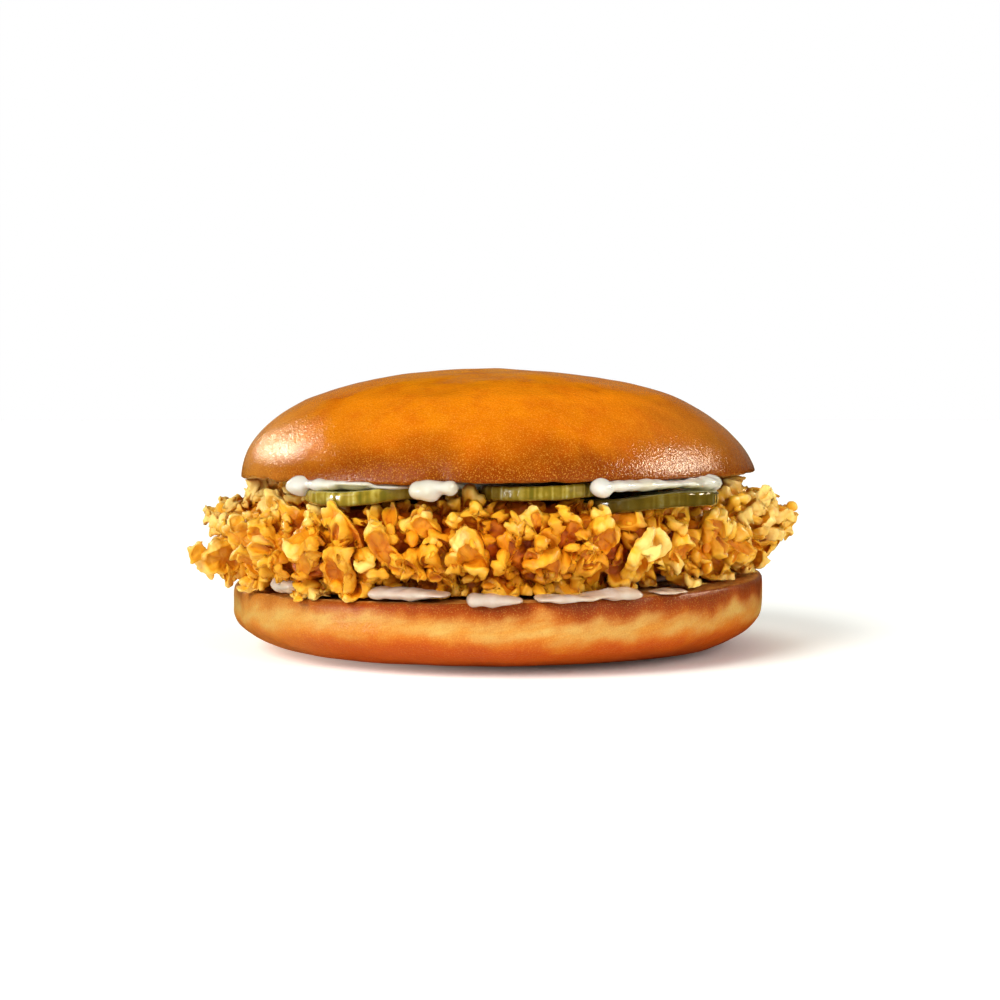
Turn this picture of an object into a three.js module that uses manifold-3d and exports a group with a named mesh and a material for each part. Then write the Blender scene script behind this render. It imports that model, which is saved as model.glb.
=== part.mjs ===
// A fried chicken burger as it is served: a glossy round bun cut in two, a craggy
// fried fillet that sticks out at both sides, three slices of pickled cucumber on
// top of it, and a layer of mayonnaise against each cut face of the bun.
// Millimetres, +Z up, seen from the front along +Y. The origin is the centre of the
// flat underside of the bottom bun.
import * as THREE from "three";
import { mergeVertices } from "three/addons/utils/BufferGeometryUtils.js";
import Module from "manifold-3d";

const wasm = await Module();
wasm.setup();

// Bottom bun
const HEEL_RADIUS = 59;
const HEEL_FLAT_RADIUS = 35;
const HEEL_WAIST = 9.5;
const HEEL_HEIGHT = 15.7;
const HEEL_SLOPE = 0.019;
const HEEL_FOOT_WIDER = 1.2;
const HEEL_FOOT_SHORTER = 1.1;

// Top bun
const CROWN_RADIUS = 57.2;
const CROWN_FOOT = 38.9;
const CROWN_TOP = 61.95;
const CROWN_SLOPE = 0.008;
const CROWN_LIP = 0.5;
const CROWN_RIM_FULLNESS = 1.65;
const CROWN_TOP_FULLNESS = 2.1;
const CROWN_APEX_SHIFT = -2.5;

// Fillet
const FILLET_MIDDLE = { x: -2, y: 0, z: 26.3 };
const FILLET_HALF = { x: 60.5, y: 55.5, z: 9.7 };
const FILLET_RISE = 0.03;
const FILLET_FULLNESS = 0.5;
const FILLET_UNDER_FULLNESS = 0.3;
const FILLET_SHOULDER = 0.8;
const FRONT_SHARE = 0.98;
const FLANK_LIMIT = 0.75;
const LUMP_COUNT = 260;
const LUMP_HEIGHT = 3.2;
const LUMP_SLOPE_WIDTH = 5;
const CRAG_THICKNESS = 2.3;
const CRAG_ROOT_DEPTH = 1.3;
const LOOSE_CRAG_COUNT = 46;
const LOOSE_CRAG_WIDTH = { least: 5.5, most: 9.5 };
const LOOSE_CRAG_REACH = { least: 7.5, most: 12.5 };
const LOOSE_CRAG_SPACING = 7;

// Pickle slices
const PICKLE_THICKNESS = 2.9;

// Mayonnaise
const SAUCE_THICKNESS = 1.5;

// Clearance left between pieces that rest on each other
const GAP = 0.3;

// Edges shorter than this are closed up after a cut
const SMALLEST_EDGE = 0.1;

// Height above the middle pickle in which there is no sauce
const CLEAR_ABOVE_PICKLE = 1.2;

const TURN = 2 * Math.PI;

function seededRandom(seed) {
  let state = seed >>> 0;
  return () => {
    state = (Math.imul(state, 1664525) + 1013904223) >>> 0;
    return state / 2 ** 32;
  };
}

const between = (low, high, share) => low + (high - low) * share;
const radians = (degrees) => (degrees * Math.PI) / 180;

// A smooth wandering value from -1 to 1, the same at the same place.
function wander(x, y, z, scale, seed) {
  const a = x / scale + 1.7 * seed;
  const b = y / scale + 2.3 * seed;
  const c = z / scale + 3.1 * seed;
  return (
    (Math.sin(a + 1.3 * Math.sin(b)) +
      Math.sin(b + 1.7 * Math.sin(c)) +
      Math.sin(c + 1.5 * Math.sin(a))) /
    3
  );
}

// Moves every vertex of a geometry by a function of its place.
function shape(geometry, move) {
  const position = geometry.getAttribute("position");
  const point = new THREE.Vector3();
  for (let i = 0; i < position.count; i++) {
    move(point.fromBufferAttribute(position, i));
    position.setXYZ(i, point.x, point.y, point.z);
  }
  return geometry;
}

function toSolid(geometry) {
  const bare = new THREE.BufferGeometry();
  bare.setAttribute("position", geometry.getAttribute("position"));
  bare.setIndex(geometry.index);
  const merged = mergeVertices(bare, 1e-4);
  return new wasm.Manifold(
    new wasm.Mesh({
      numProp: 3,
      vertProperties: new Float32Array(merged.attributes.position.array),
      triVerts: new Uint32Array(merged.index.array),
    }),
  );
}

function toMesh(name, solid, material) {
  const found = solid.getMesh();
  const geometry = new THREE.BufferGeometry();
  geometry.setAttribute("position", new THREE.BufferAttribute(found.vertProperties, 3));
  geometry.setIndex(new THREE.BufferAttribute(found.triVerts, 1));
  geometry.computeVertexNormals();
  const mesh = new THREE.Mesh(geometry, material);
  mesh.name = name;
  return mesh;
}

function cutAway(solid, cutters) {
  return cutters.reduce((left, cutter) => left.subtract(cutter), solid);
}

// The largest single piece of a solid, without the scraps that a cut leaves.
function largestPiece(solid) {
  const pieces = solid.decompose();
  return pieces.reduce((best, piece) => (piece.volume() > best.volume() ? piece : best));
}

function tidied(solid) {
  return largestPiece(largestPiece(solid).simplify(SMALLEST_EDGE));
}

function food(colour, roughness) {
  return new THREE.MeshStandardMaterial({ color: colour, roughness, metalness: 0 });
}

// Height of the cut face of the bottom bun, and of the cut face of the top bun.
const heelTop = (x) => HEEL_HEIGHT + HEEL_SLOPE * x;
const crownFoot = (x) => CROWN_FOOT + CROWN_SLOPE * x;

// A solid of revolution about Z from points of radius and height, bottom first.
function turned(profile, segments) {
  const points = profile.map(([radius, height]) => new THREE.Vector2(radius, height));
  return new THREE.LatheGeometry(points, segments).rotateX(Math.PI / 2);
}

// A bun is never quite round.
function unround(point, amount) {
  const around = Math.atan2(point.y, point.x);
  const swell = 1 + amount * (Math.sin(2 * around + 0.6) + 0.6 * Math.sin(3 * around + 2));
  point.x *= swell;
  point.y *= swell;
}

function heel(grow = 0) {
  const radius = HEEL_RADIUS + grow;
  const profile = [[0, -grow]];
  const steps = 5;
  for (let i = 0; i <= steps; i++) {
    const angle = (i / steps) * (Math.PI / 2);
    const out = (HEEL_RADIUS - HEEL_FLAT_RADIUS) * Math.sin(angle);
    profile.push([
      HEEL_FLAT_RADIUS + out + grow * Math.sin(angle),
      HEEL_WAIST * (1 - Math.cos(angle)) - grow * Math.cos(angle),
    ]);
  }
  profile.push([radius - 0.2, HEEL_HEIGHT - 1.3]);
  profile.push([radius - 1.1, HEEL_HEIGHT + grow]);
  profile.push([radius - 16, HEEL_HEIGHT + grow]);
  profile.push([0, HEEL_HEIGHT + grow]);
  const geometry = shape(turned(profile, 44), (point) => {
    const low = Math.pow(Math.max(0, 1 - Math.hypot(point.x, point.y) / HEEL_RADIUS), 2);
    point.x *= 1 + HEEL_FOOT_WIDER * low;
    point.y *= 1 - HEEL_FOOT_SHORTER * low;
    unround(point, 0.004);
    const share = Math.max(0, point.z / HEEL_HEIGHT);
    point.z += HEEL_SLOPE * point.x * share;
  });
  return toSolid(geometry);
}

function crown(grow = 0) {
  const rise = CROWN_TOP - CROWN_FOOT;
  const profile = [
    [0, -grow],
    [CROWN_RADIUS - 14, -grow],
    [CROWN_RADIUS - 1.3, -grow],
    [CROWN_RADIUS + grow, CROWN_LIP],
  ];
  const steps = 9;
  for (let i = 1; i <= steps; i++) {
    const angle = (i / steps) * (Math.PI / 2);
    const share = Math.min(1, (2 * i) / steps);
    const fullness = between(CROWN_RIM_FULLNESS, CROWN_TOP_FULLNESS, share);
    const out = Math.pow(Math.cos(angle), 2 / fullness);
    const up = Math.pow(Math.sin(angle), 2 / fullness);
    profile.push([
      i === steps ? 0 : (CROWN_RADIUS + grow) * out,
      CROWN_LIP + (rise - CROWN_LIP + grow) * up,
    ]);
  }
  const geometry = shape(turned(profile, 40), (point) => {
    unround(point, 0.003);
    point.x += (CROWN_APEX_SHIFT * Math.max(0, point.z)) / rise;
    point.z += crownFoot(point.x);
  });
  return toSolid(geometry);
}

// One pickle slice: a disc whose middle surface follows lie(x, y) above its centre.
const PICKLES = [
  {
    name: "pickle_left",
    x: -25.8,
    y: -37,
    radius: 14.3,
    lie: (x, y) => 36.15 - 0.75 * Math.cos(0.17 * (x + 7)) + 0.01 * y,
    phase: 0.4,
  },
  {
    name: "pickle_middle",
    x: 8.6,
    y: -41,
    radius: 13.6,
    lie: (x) => 36.6 + 0.002 * Math.pow(Math.max(0, x + 6), 2) + 0.01 * x,
    phase: 1.9,
  },
  {
    name: "pickle_right",
    x: 30,
    y: -36.5,
    radius: 15,
    lie: (x) => 34.55 + 0.35 * Math.sin(0.22 * x + 0.3) + 0.05 * x,
    phase: 3.1,
  },
];

function pickle({ x, y, radius, lie, phase }, grow = 0) {
  const half = PICKLE_THICKNESS / 2 + grow;
  const rim = 0.7;
  const reach = radius + grow;
  const profile = [
    [0, -half],
    [reach * 0.6, -half],
    [reach - rim, -half],
    [reach, -half + rim],
    [reach, half - rim],
    [reach - rim, half],
    [reach * 0.6, half],
    [0, half],
  ];
  const geometry = shape(turned(profile, 24), (point) => {
    const around = Math.atan2(point.y, point.x);
    const swell = 1 + 0.025 * Math.sin(3 * around + phase) + 0.02 * Math.sin(2 * around - phase);
    point.x *= swell;
    point.y *= swell;
    point.z += lie(point.x, point.y);
    point.x += x;
    point.y += y;
  });
  return toSolid(geometry);
}

// A rounded blob of sauce near the rim. across is along the rim, deep towards the axis.
function blob({ at, radius, height, across, deep, tall }, grow = 0) {
  const geometry = new THREE.SphereGeometry(1, 9, 4).rotateX(Math.PI / 2);
  geometry.scale(deep / 2 + grow, across / 2 + grow, tall / 2 + grow);
  geometry.translate(radius, 0, height).rotateZ(radians(at));
  return toSolid(geometry);
}

// A layer of sauce whose outline wanders between the named radii.
function spread(low, high, outline, grow = 0) {
  const profile = [
    [0, 0],
    [0.97, 0],
    [1, 0.5],
    [0.97, 1],
    [0, 1],
  ];
  const geometry = shape(turned(profile, 26), (point) => {
    const around = Math.atan2(point.y, point.x);
    const reach = outline(around) + grow;
    point.x *= reach;
    point.y *= reach;
    const bottom = low(point.x, point.y) - grow;
    const top = high(point.x, point.y) + grow;
    point.z = between(bottom, top, point.z);
  });
  return toSolid(geometry);
}

const LOWER_BLOBS = [
  { at: 223.5, radius: 55.5, height: 17.6, across: 6.5, deep: 9, tall: 3.6 },
  { at: 252, radius: 54.5, height: 17.2, across: 17, deep: 11, tall: 3.0 },
  { at: 268.5, radius: 57.2, height: 16.0, across: 8, deep: 9, tall: 3.2 },
  { at: 282, radius: 55.2, height: 16.9, across: 12, deep: 11, tall: 2.6 },
  { at: 293, radius: 54.5, height: 17.1, across: 9, deep: 11, tall: 2.8 },
  { at: 306, radius: 54, height: 17.4, across: 7, deep: 9, tall: 2.2 },
  { at: 20, radius: 53, height: 17.9, across: 14, deep: 11, tall: 2.6 },
  { at: 72, radius: 54, height: 17.2, across: 16, deep: 11, tall: 2.6 },
  { at: 118, radius: 53.5, height: 16.8, across: 12, deep: 11, tall: 2.6 },
  { at: 163, radius: 53, height: 16.4, across: 10, deep: 11, tall: 2.4 },
];

const UPPER_BLOBS = [
  { at: 225.5, radius: 56.6, height: 37.0, across: 5.6, deep: 7, tall: 4.6 },
  { at: 232, radius: 54.6, height: 37.5, across: 6.5, deep: 9, tall: 2.4 },
  { at: 255.5, radius: 54.6, height: 36.6, across: 6.4, deep: 9, tall: 4.2 },
  { at: 260.5, radius: 54.2, height: 37.0, across: 5.4, deep: 9, tall: 3.4 },
  { at: 291, radius: 56.4, height: 37.1, across: 4.4, deep: 7, tall: 4.0 },
  { at: 318.5, radius: 56.2, height: 37.4, across: 7.6, deep: 9, tall: 3.6 },
  { at: 18, radius: 53.5, height: 38, across: 13, deep: 11, tall: 2.6 },
  { at: 66, radius: 54, height: 37.9, across: 15, deep: 11, tall: 2.8 },
  { at: 124, radius: 54, height: 37.4, across: 12, deep: 11, tall: 3.2 },
  { at: 170, radius: 53.5, height: 37.2, across: 9, deep: 11, tall: 2.8 },
];

const wavyOutline = (middle, swing, seed) => (around) =>
  middle + swing * (Math.sin(3 * around + seed) + 0.7 * Math.sin(5 * around + 2 * seed)) * 0.6;

function sauceLower(grow = 0) {
  const layer = spread(
    (x) => heelTop(x) + GAP,
    (x) => heelTop(x) + GAP + SAUCE_THICKNESS,
    wavyOutline(50.5, 2, 0.7),
    grow,
  );
  return LOWER_BLOBS.reduce((whole, lobe) => whole.add(blob(lobe, grow)), layer);
}

function sauceUpper(grow = 0) {
  const layer = spread(
    (x) => crownFoot(x) - GAP - SAUCE_THICKNESS,
    (x) => crownFoot(x) - GAP,
    wavyOutline(51.5, 1.8, 2.2),
    grow,
  );
  return UPPER_BLOBS.reduce((whole, lobe) => whole.add(blob(lobe, grow)), layer);
}

// The fillet is fuller under its middle than above it.
const fullnessAt = (height) => (height < 0 ? FILLET_UNDER_FULLNESS : FILLET_FULLNESS);

// The fillet without its crags, as a point for a place on the unit sphere.
function filletPoint(direction, lift = 0) {
  const around = Math.atan2(direction.y, direction.x);
  const flat = Math.hypot(direction.x, direction.y);
  const out = Math.pow(flat, fullnessAt(direction.z));
  const up = Math.sign(direction.z) * Math.pow(Math.abs(direction.z), FILLET_SHOULDER);
  const plan =
    1 + 0.035 * Math.sin(3 * around + 0.9) + 0.03 * Math.sin(5 * around + 0.3) +
    0.02 * Math.sin(8 * around);
  const x = (FILLET_HALF.x + lift) * out * plan * Math.cos(around);
  const y = (FILLET_HALF.y + lift) * out * plan * Math.sin(around);
  const z = (FILLET_HALF.z + 0.4 * lift) * up + FILLET_RISE * x;
  return new THREE.Vector3(x + FILLET_MIDDLE.x, y + FILLET_MIDDLE.y, z + FILLET_MIDDLE.z);
}

// A direction on the unit sphere, for a share of a turn and a height from -1 to 1.
function directionOf(around, up) {
  const flat = Math.sqrt(1 - up * up);
  return new THREE.Vector3(flat * Math.cos(around), flat * Math.sin(around), up);
}

// Middles of the knobbly lumps of crust, spread evenly by the golden ratio.
const LUMPS = Array.from({ length: LUMP_COUNT }, (_, i) =>
  filletPoint(directionOf(TURN * i * 0.61803399, between(-0.97, 0.97, (i * 0.7548777) % 1))),
);

// How far a lump stands out here: most at its middle, none in the crease between two.
function lumpHeight(place) {
  let nearest = Infinity;
  let next = Infinity;
  for (const lump of LUMPS) {
    const away = place.distanceTo(lump);
    if (away < nearest) {
      next = nearest;
      nearest = away;
    } else if (away < next) {
      next = away;
    }
  }
  return LUMP_HEIGHT * (Math.min(1, (next - nearest) / LUMP_SLOPE_WIDTH) - 0.4);
}

function filletCore() {
  const geometry = shape(new THREE.SphereGeometry(1, 64, 12).rotateX(Math.PI / 2), (point) => {
    point.copy(filletPoint(point, lumpHeight(filletPoint(point))));
  });
  return toSolid(geometry);
}

// The place on the unit sphere whose fillet point is at this x on the front, at or near z.
function frontDirection(x, z) {
  const height = (z - FILLET_MIDDLE.z - FILLET_RISE * x) / FILLET_HALF.z;
  const aside = Math.abs(x - FILLET_MIDDLE.x) / FILLET_HALF.x;
  const fullness = fullnessAt(height);
  const covered = Math.pow(Math.min(0.97, aside / FRONT_SHARE), 2 / fullness);
  const highest = Math.min(FLANK_LIMIT, Math.sqrt(1 - covered));
  const wanted = Math.pow(Math.abs(height), 1 / FILLET_SHOULDER);
  const up = Math.sign(height) * Math.min(highest, wanted);
  const out = Math.pow(1 - up * up, fullness / 2);
  const share = (x - FILLET_MIDDLE.x) / (FILLET_HALF.x * out);
  const around = -Math.acos(Math.min(FRONT_SHARE, Math.max(-FRONT_SHARE, share)));
  return directionOf(around, up);
}

// The crags are curled flakes of crust that stand out of the side of the fillet.
// Those at the front, from left to right. z is where the middle of a flake is, roll tips
// its end to its right, rise tips it out of the fillet, and cup bends its long edges
// outwards.
const FRONT_CRAGS = [
  { x: -57.5, z: 21.6, reach: 12.5, width: 10, roll: -80, rise: 66, cup: 0.2 },
  { x: -53.5, z: 26.6, reach: 10, width: 6, roll: -70, rise: 45, cup: -0.2 },
  { x: -53, z: 17.8, reach: 8, width: 7, roll: 185, rise: 56, cup: 0.3 },
  { x: -52.5, z: 35, reach: 9, width: 7, roll: 0, rise: 25, cup: 0.3 },
  { x: -53.5, z: 33.2, reach: 8.5, width: 5.5, roll: -20, rise: 48, cup: 0.3 },
  { x: -49.5, z: 35, reach: 9, width: 6, roll: 20, rise: 24, cup: -0.3 },
  { x: -49.5, z: 31, reach: 8, width: 6.5, roll: 0, rise: 38, cup: 0.45 },
  { x: -48.5, z: 17.8, reach: 9.5, width: 7, roll: 180, rise: 62, cup: 0.3 },
  { x: -48.5, z: 21.4, reach: 10, width: 7, roll: -20, rise: 34, cup: 0.45 },
  { x: -46, z: 35.4, reach: 8, width: 7, roll: -20, rise: 24, cup: -0.3 },
  { x: -45, z: 26.8, reach: 11.5, width: 6, roll: -52, rise: 24, cup: 0.3 },
  { x: -41.5, z: 21.6, reach: 9, width: 5.5, roll: 12, rise: 32, cup: 0.5 },
  { x: -41, z: 31.2, reach: 14, width: 6, roll: -57, rise: 20, cup: -0.3 },
  { x: -36, z: 17.8, reach: 9, width: 6, roll: 178, rise: 60, cup: 0.3 },
  { x: -29.5, z: 21.4, reach: 12.5, width: 7.5, roll: -6, rise: 22, cup: 0.45 },
  { x: -28.6, z: 29.8, reach: 13.5, width: 5, roll: -40, rise: 24, cup: -0.3 },
  { x: -25.5, z: 17.8, reach: 10, width: 7, roll: 185, rise: 64, cup: 0.3 },
  { x: -21.5, z: 26.4, reach: 14, width: 4.6, roll: -24, rise: 22, cup: -0.3 },
  { x: -17, z: 22.6, reach: 8, width: 6, roll: -14, rise: 34, cup: 0.3 },
  { x: -14, z: 29.8, reach: 8.5, width: 7, roll: -50, rise: 34, cup: 0.25 },
  { x: -12.5, z: 17.8, reach: 9, width: 6, roll: 175, rise: 62, cup: 0.3 },
  { x: -6, z: 31, reach: 6.5, width: 8.5, roll: 6, rise: 46, cup: 0.2 },
  { x: -5.5, z: 24.8, reach: 13, width: 8.5, roll: -42, rise: 20, cup: 0.3 },
  { x: 0.5, z: 18.4, reach: 9.5, width: 10, roll: 200, rise: 60, cup: 0.2 },
  { x: 7, z: 31, reach: 8, width: 6, roll: -10, rise: 34, cup: 0.45 },
  { x: 9, z: 23, reach: 7.5, width: 9, roll: -14, rise: 42, cup: 0.3 },
  { x: 13, z: 17.8, reach: 9, width: 6.5, roll: 183, rise: 62, cup: 0.3 },
  { x: 13.5, z: 29.4, reach: 7.5, width: 6.5, roll: 24, rise: 36, cup: -0.35 },
  { x: 20, z: 28.2, reach: 10, width: 8.5, roll: 4, rise: 22, cup: 0.2 },
  { x: 24.5, z: 19.4, reach: 10.5, width: 4.2, roll: 140, rise: 24, cup: 0.1 },
  { x: 28, z: 25, reach: 15, width: 12, roll: -6, rise: 26, cup: 0.35 },
  { x: 36, z: 24, reach: 11.5, width: 6, roll: -8, rise: 26, cup: -0.3 },
  { x: 36.5, z: 17.8, reach: 10, width: 7, roll: 180, rise: 62, cup: 0.3 },
  { x: 41, z: 21.4, reach: 8, width: 5.4, roll: 8, rise: 30, cup: 0.2 },
  { x: 43.5, z: 29.2, reach: 9, width: 6.5, roll: 36, rise: 32, cup: -0.2 },
  { x: 45, z: 17.9, reach: 10, width: 6.5, roll: 170, rise: 62, cup: 0.3 },
  { x: 47.5, z: 33.6, reach: 8, width: 6, roll: 36, rise: 36, cup: 0.2 },
  { x: 49, z: 24.6, reach: 11, width: 6, roll: 118, rise: 34, cup: 0.2 },
  { x: 51, z: 18.2, reach: 9, width: 7, roll: 190, rise: 60, cup: 0.3 },
  { x: 52.5, z: 35.6, reach: 8, width: 7, roll: -20, rise: 30, cup: 0.3 },
  { x: 53.5, z: 31.4, reach: 12, width: 5.5, roll: -20, rise: 50, cup: 0.2 },
  { x: 55, z: 29.4, reach: 11, width: 7, roll: -80, rise: 68, cup: -0.2 },
  { x: 53.5, z: 23.4, reach: 8, width: 6, roll: -140, rise: 42, cup: 0.2 },
  { x: 54.5, z: 18.4, reach: 7, width: 7, roll: 175, rise: 50, cup: 0.3 },
];

// The other crags, the largest first, spread evenly by the golden ratio. None stands
// where one of those at the front already is.
function looseCrags(taken) {
  const random = seededRandom(11);
  const plans = [];
  for (let i = 0; i < LOOSE_CRAG_COUNT; i++) {
    const size = 1 - i / LOOSE_CRAG_COUNT;
    const around = TURN * ((i * 0.61803399 + 0.02 * random()) % 1);
    const direction = directionOf(around, between(-0.6, 0.72, (i * 0.7548777) % 1));
    const plan = {
      direction,
      roll: between(-180, 180, random()),
      rise: between(22, 68, random()),
      width: between(LOOSE_CRAG_WIDTH.least, LOOSE_CRAG_WIDTH.most, size * between(0.5, 1, random())),
      reach: between(LOOSE_CRAG_REACH.least, LOOSE_CRAG_REACH.most, size * between(0.4, 1, random())),
      cup: between(-0.4, 0.45, random()),
    };
    const place = filletPoint(direction);
    if (taken.every((other) => other.distanceTo(place) > LOOSE_CRAG_SPACING)) {
      plans.push(plan);
    }
  }
  return plans;
}

function crag({ direction, z, reach, width, roll, rise, cup }, index) {
  const around = Math.atan2(direction.y, direction.x);
  const outward = new THREE.Vector3(Math.cos(around), Math.sin(around), 0.6 * direction.z);
  outward.normalize();
  const sideways = new THREE.Vector3(-Math.sin(around), Math.cos(around), 0);
  const upward = new THREE.Vector3().crossVectors(outward, sideways).normalize();
  const tilt = radians(roll);
  const along = sideways.clone().multiplyScalar(Math.sin(tilt));
  along.addScaledVector(upward, Math.cos(tilt));
  const broad = sideways.clone().multiplyScalar(Math.cos(tilt));
  broad.addScaledVector(upward, -Math.sin(tilt));
  const long = along.multiplyScalar(Math.cos(radians(rise)));
  long.addScaledVector(outward, Math.sin(radians(rise)));
  const thin = new THREE.Vector3().crossVectors(broad, long);
  const standing = (reach / 2) * Math.sin(radians(rise)) - CRAG_ROOT_DEPTH;
  const middle = filletPoint(direction).addScaledVector(outward, standing);
  middle.z = z ?? middle.z;
  const phase = 2.4 * index;
  const geometry = shape(new THREE.SphereGeometry(1, 8, 4).rotateX(Math.PI / 2), (point) => {
    const angle = Math.atan2(point.y, point.x);
    const blunt = 1 / Math.sqrt(Math.max(0.2, Math.hypot(point.x, point.y)));
    const square = 1 + 0.2 * Math.abs(Math.sin(2 * angle));
    const edge = square + 0.13 * Math.sin(3 * angle + phase);
    const u = point.x * edge * blunt;
    const v = point.y * edge * blunt;
    const fan = 0.85 + 0.15 * v;
    const bend = cup * u * u + 0.12 * Math.sin(phase) * v * v + 0.1 * Math.sin(3 * u + phase) * v;
    const through = (CRAG_THICKNESS / 2) * point.z + (width / 2) * bend;
    point
      .copy(middle)
      .addScaledVector(broad, (width / 2) * u * fan)
      .addScaledVector(long, (reach / 2) * v)
      .addScaledVector(thin, through);
  });
  return toSolid(geometry);
}

function fillet(neighbours) {
  const front = FRONT_CRAGS.map((seen) => ({ ...seen, direction: frontDirection(seen.x, seen.z) }));
  const taken = front.map(({ direction }) => filletPoint(direction));
  const crags = [...front, ...looseCrags(taken)].map(crag);
  const whole = wasm.Manifold.union([filletCore(), ...crags]);
  return tidied(cutAway(whole, neighbours));
}

const pickleSolids = PICKLES.map((slice) => pickle(slice));
const grownPickles = PICKLES.map((slice) => pickle(slice, GAP));
const overMiddlePickle = grownPickles[1].translate(0, 0, CLEAR_ABOVE_PICKLE);
const upperSauce = tidied(
  cutAway(sauceUpper(), [crown(GAP), ...grownPickles, overMiddlePickle]),
);
const lowerSauce = tidied(cutAway(sauceLower(), [heel(GAP)]));
const neighbours = [heel(GAP), crown(GAP), sauceLower(GAP), sauceUpper(GAP), ...grownPickles];

const burger = new THREE.Group();
burger.add(toMesh("bun_bottom", heel(), food(0xd9822e, 0.55)));
burger.add(toMesh("sauce_lower", lowerSauce, food(0xf0e8dc, 0.25)));
burger.add(toMesh("fried_chicken", fillet(neighbours), food(0xd98a26, 0.6)));
PICKLES.forEach((slice, i) => {
  burger.add(toMesh(slice.name, pickleSolids[i], food(0x8d8a2e, 0.3)));
});
burger.add(toMesh("sauce_upper", upperSauce, food(0xf0e8dc, 0.25)));
burger.add(toMesh("bun_top", crown(), food(0xe07a12, 0.4)));

export default burger;
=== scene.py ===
"""A fried chicken burger: glossy bun, craggy fried fillet, pickle slices and mayonnaise.

Sizes are in millimetres while a shape is worked out, and in metres once it is a mesh.
"""

import math

import bpy
import numpy as np
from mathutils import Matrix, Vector, noise


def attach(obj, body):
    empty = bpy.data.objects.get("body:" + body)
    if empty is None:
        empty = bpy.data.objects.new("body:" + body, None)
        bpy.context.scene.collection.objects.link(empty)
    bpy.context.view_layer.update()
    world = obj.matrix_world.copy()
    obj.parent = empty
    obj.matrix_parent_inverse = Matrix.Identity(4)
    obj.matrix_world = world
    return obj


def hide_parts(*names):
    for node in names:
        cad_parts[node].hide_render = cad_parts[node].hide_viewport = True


MM = 0.001
TURN = 2 * math.pi
GOLDEN = 0.61803399
PLASTIC = 0.7548777

# Bottom bun
HEEL_RADIUS = 59.0
HEEL_FLAT_RADIUS = 35.0
HEEL_WAIST = 9.5
HEEL_HEIGHT = 15.7
HEEL_SLOPE = 0.019
HEEL_FOOT_WIDER = 1.2
HEEL_FOOT_SHORTER = 1.1
HEEL_FOOT_LEAST = 0.3

# Top bun
CROWN_RADIUS = 57.2
CROWN_FOOT = 38.9
CROWN_TOP = 61.95
CROWN_SLOPE = 0.008
CROWN_LIP = 0.5
CROWN_RIM_FULLNESS = 1.65
CROWN_TOP_FULLNESS = 2.1
CROWN_APEX_SHIFT = -2.5
# A small pinch in the rim, at this angle in degrees and this share of the radius deep
CROWN_PINCH_AT = -101.5
CROWN_PINCH = 0.016

# Fillet
FILLET_MIDDLE = np.array([-2.0, 0.0, 26.3])
FILLET_HALF = np.array([60.5, 55.5, 9.7])
FILLET_MEAN_HALF = 50.0
FILLET_RISE = 0.03
FILLET_FULLNESS = 0.5
FILLET_UNDER_FULLNESS = 0.3
FILLET_SHOULDER = 0.8
FRONT_SHARE = 0.98
FLANK_LIMIT = 0.75
LUMP_COUNT = 260
LUMP_HEIGHT = 3.2
LUMP_SLOPE_WIDTH = 5.0
CRAG_ROOT_DEPTH = 1.3
LOOSE_CRAG_COUNT = 46
LOOSE_CRAG_WIDTH = (5.5, 9.5)
LOOSE_CRAG_REACH = (7.5, 12.5)
LOOSE_CRAG_SPACING = 7.0
SMALL_FLAKE_COUNT = 480
CRUMB_COUNT = 520
CRUMB_CLEARANCE = 3.2
# How far crust may hang below the top of the bottom bun, outside its rim
CRUST_OVERHANG = 0.9
# At its right end the crust is drawn in, beyond a limit that leans outwards with height
RIGHT_END_LIMIT = 56.5
RIGHT_END_SLANT = 0.95
RIGHT_END_FOOT = 16.0
RIGHT_END_TUCK = 0.8

# Pickle slices
PICKLE_THICKNESS = 2.9
PICKLE_EDGE = 0.7

# Mayonnaise
SAUCE_THICKNESS = 1.5
GAP = 0.3

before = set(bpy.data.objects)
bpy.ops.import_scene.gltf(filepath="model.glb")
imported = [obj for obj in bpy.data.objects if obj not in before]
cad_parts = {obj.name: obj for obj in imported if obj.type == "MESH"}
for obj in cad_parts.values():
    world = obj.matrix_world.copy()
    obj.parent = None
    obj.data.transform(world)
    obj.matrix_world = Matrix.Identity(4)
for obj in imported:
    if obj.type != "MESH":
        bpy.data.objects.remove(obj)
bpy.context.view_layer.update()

# Without a seed, noise vectors start from another place in each run
noise.seed_set(1)


# Shared shapes


class Draws:
    """The seeded stream of numbers from 0 to 1 that places the crags."""

    def __init__(self, seed):
        self.state = seed

    def __call__(self):
        self.state = (self.state * 1664525 + 1013904223) & 0xFFFFFFFF
        return self.state / 2**32


def between(low, high, share):
    return low + (high - low) * share


def unit(v):
    v = np.asarray(v, float)
    return v / np.linalg.norm(v)


def lathe(profile, segments):
    """Points and faces turned about Z from (radius, height) points, from foot to top."""
    points = [(0.0, 0.0, profile[0][1])]
    for radius, height in profile[1:-1]:
        for i in range(segments):
            turn = TURN * i / segments
            points.append((radius * math.cos(turn), radius * math.sin(turn), height))
    points.append((0.0, 0.0, profile[-1][1]))
    last = len(points) - 1
    rows = len(profile) - 2
    faces = []
    for i in range(segments):
        after = (i + 1) % segments
        faces.append((0, 1 + after, 1 + i))
        for j in range(rows - 1):
            a = 1 + j * segments
            faces.append((a + i, a + after, a + segments + after, a + segments + i))
        a = 1 + (rows - 1) * segments
        faces.append((a + i, a + after, last))
    return np.array(points), faces


def ball(segments, rings):
    """A unit sphere with its poles on Z."""
    angles = [math.pi * j / rings for j in range(rings + 1)]
    return lathe([(math.sin(a), -math.cos(a)) for a in angles], segments)


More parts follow.
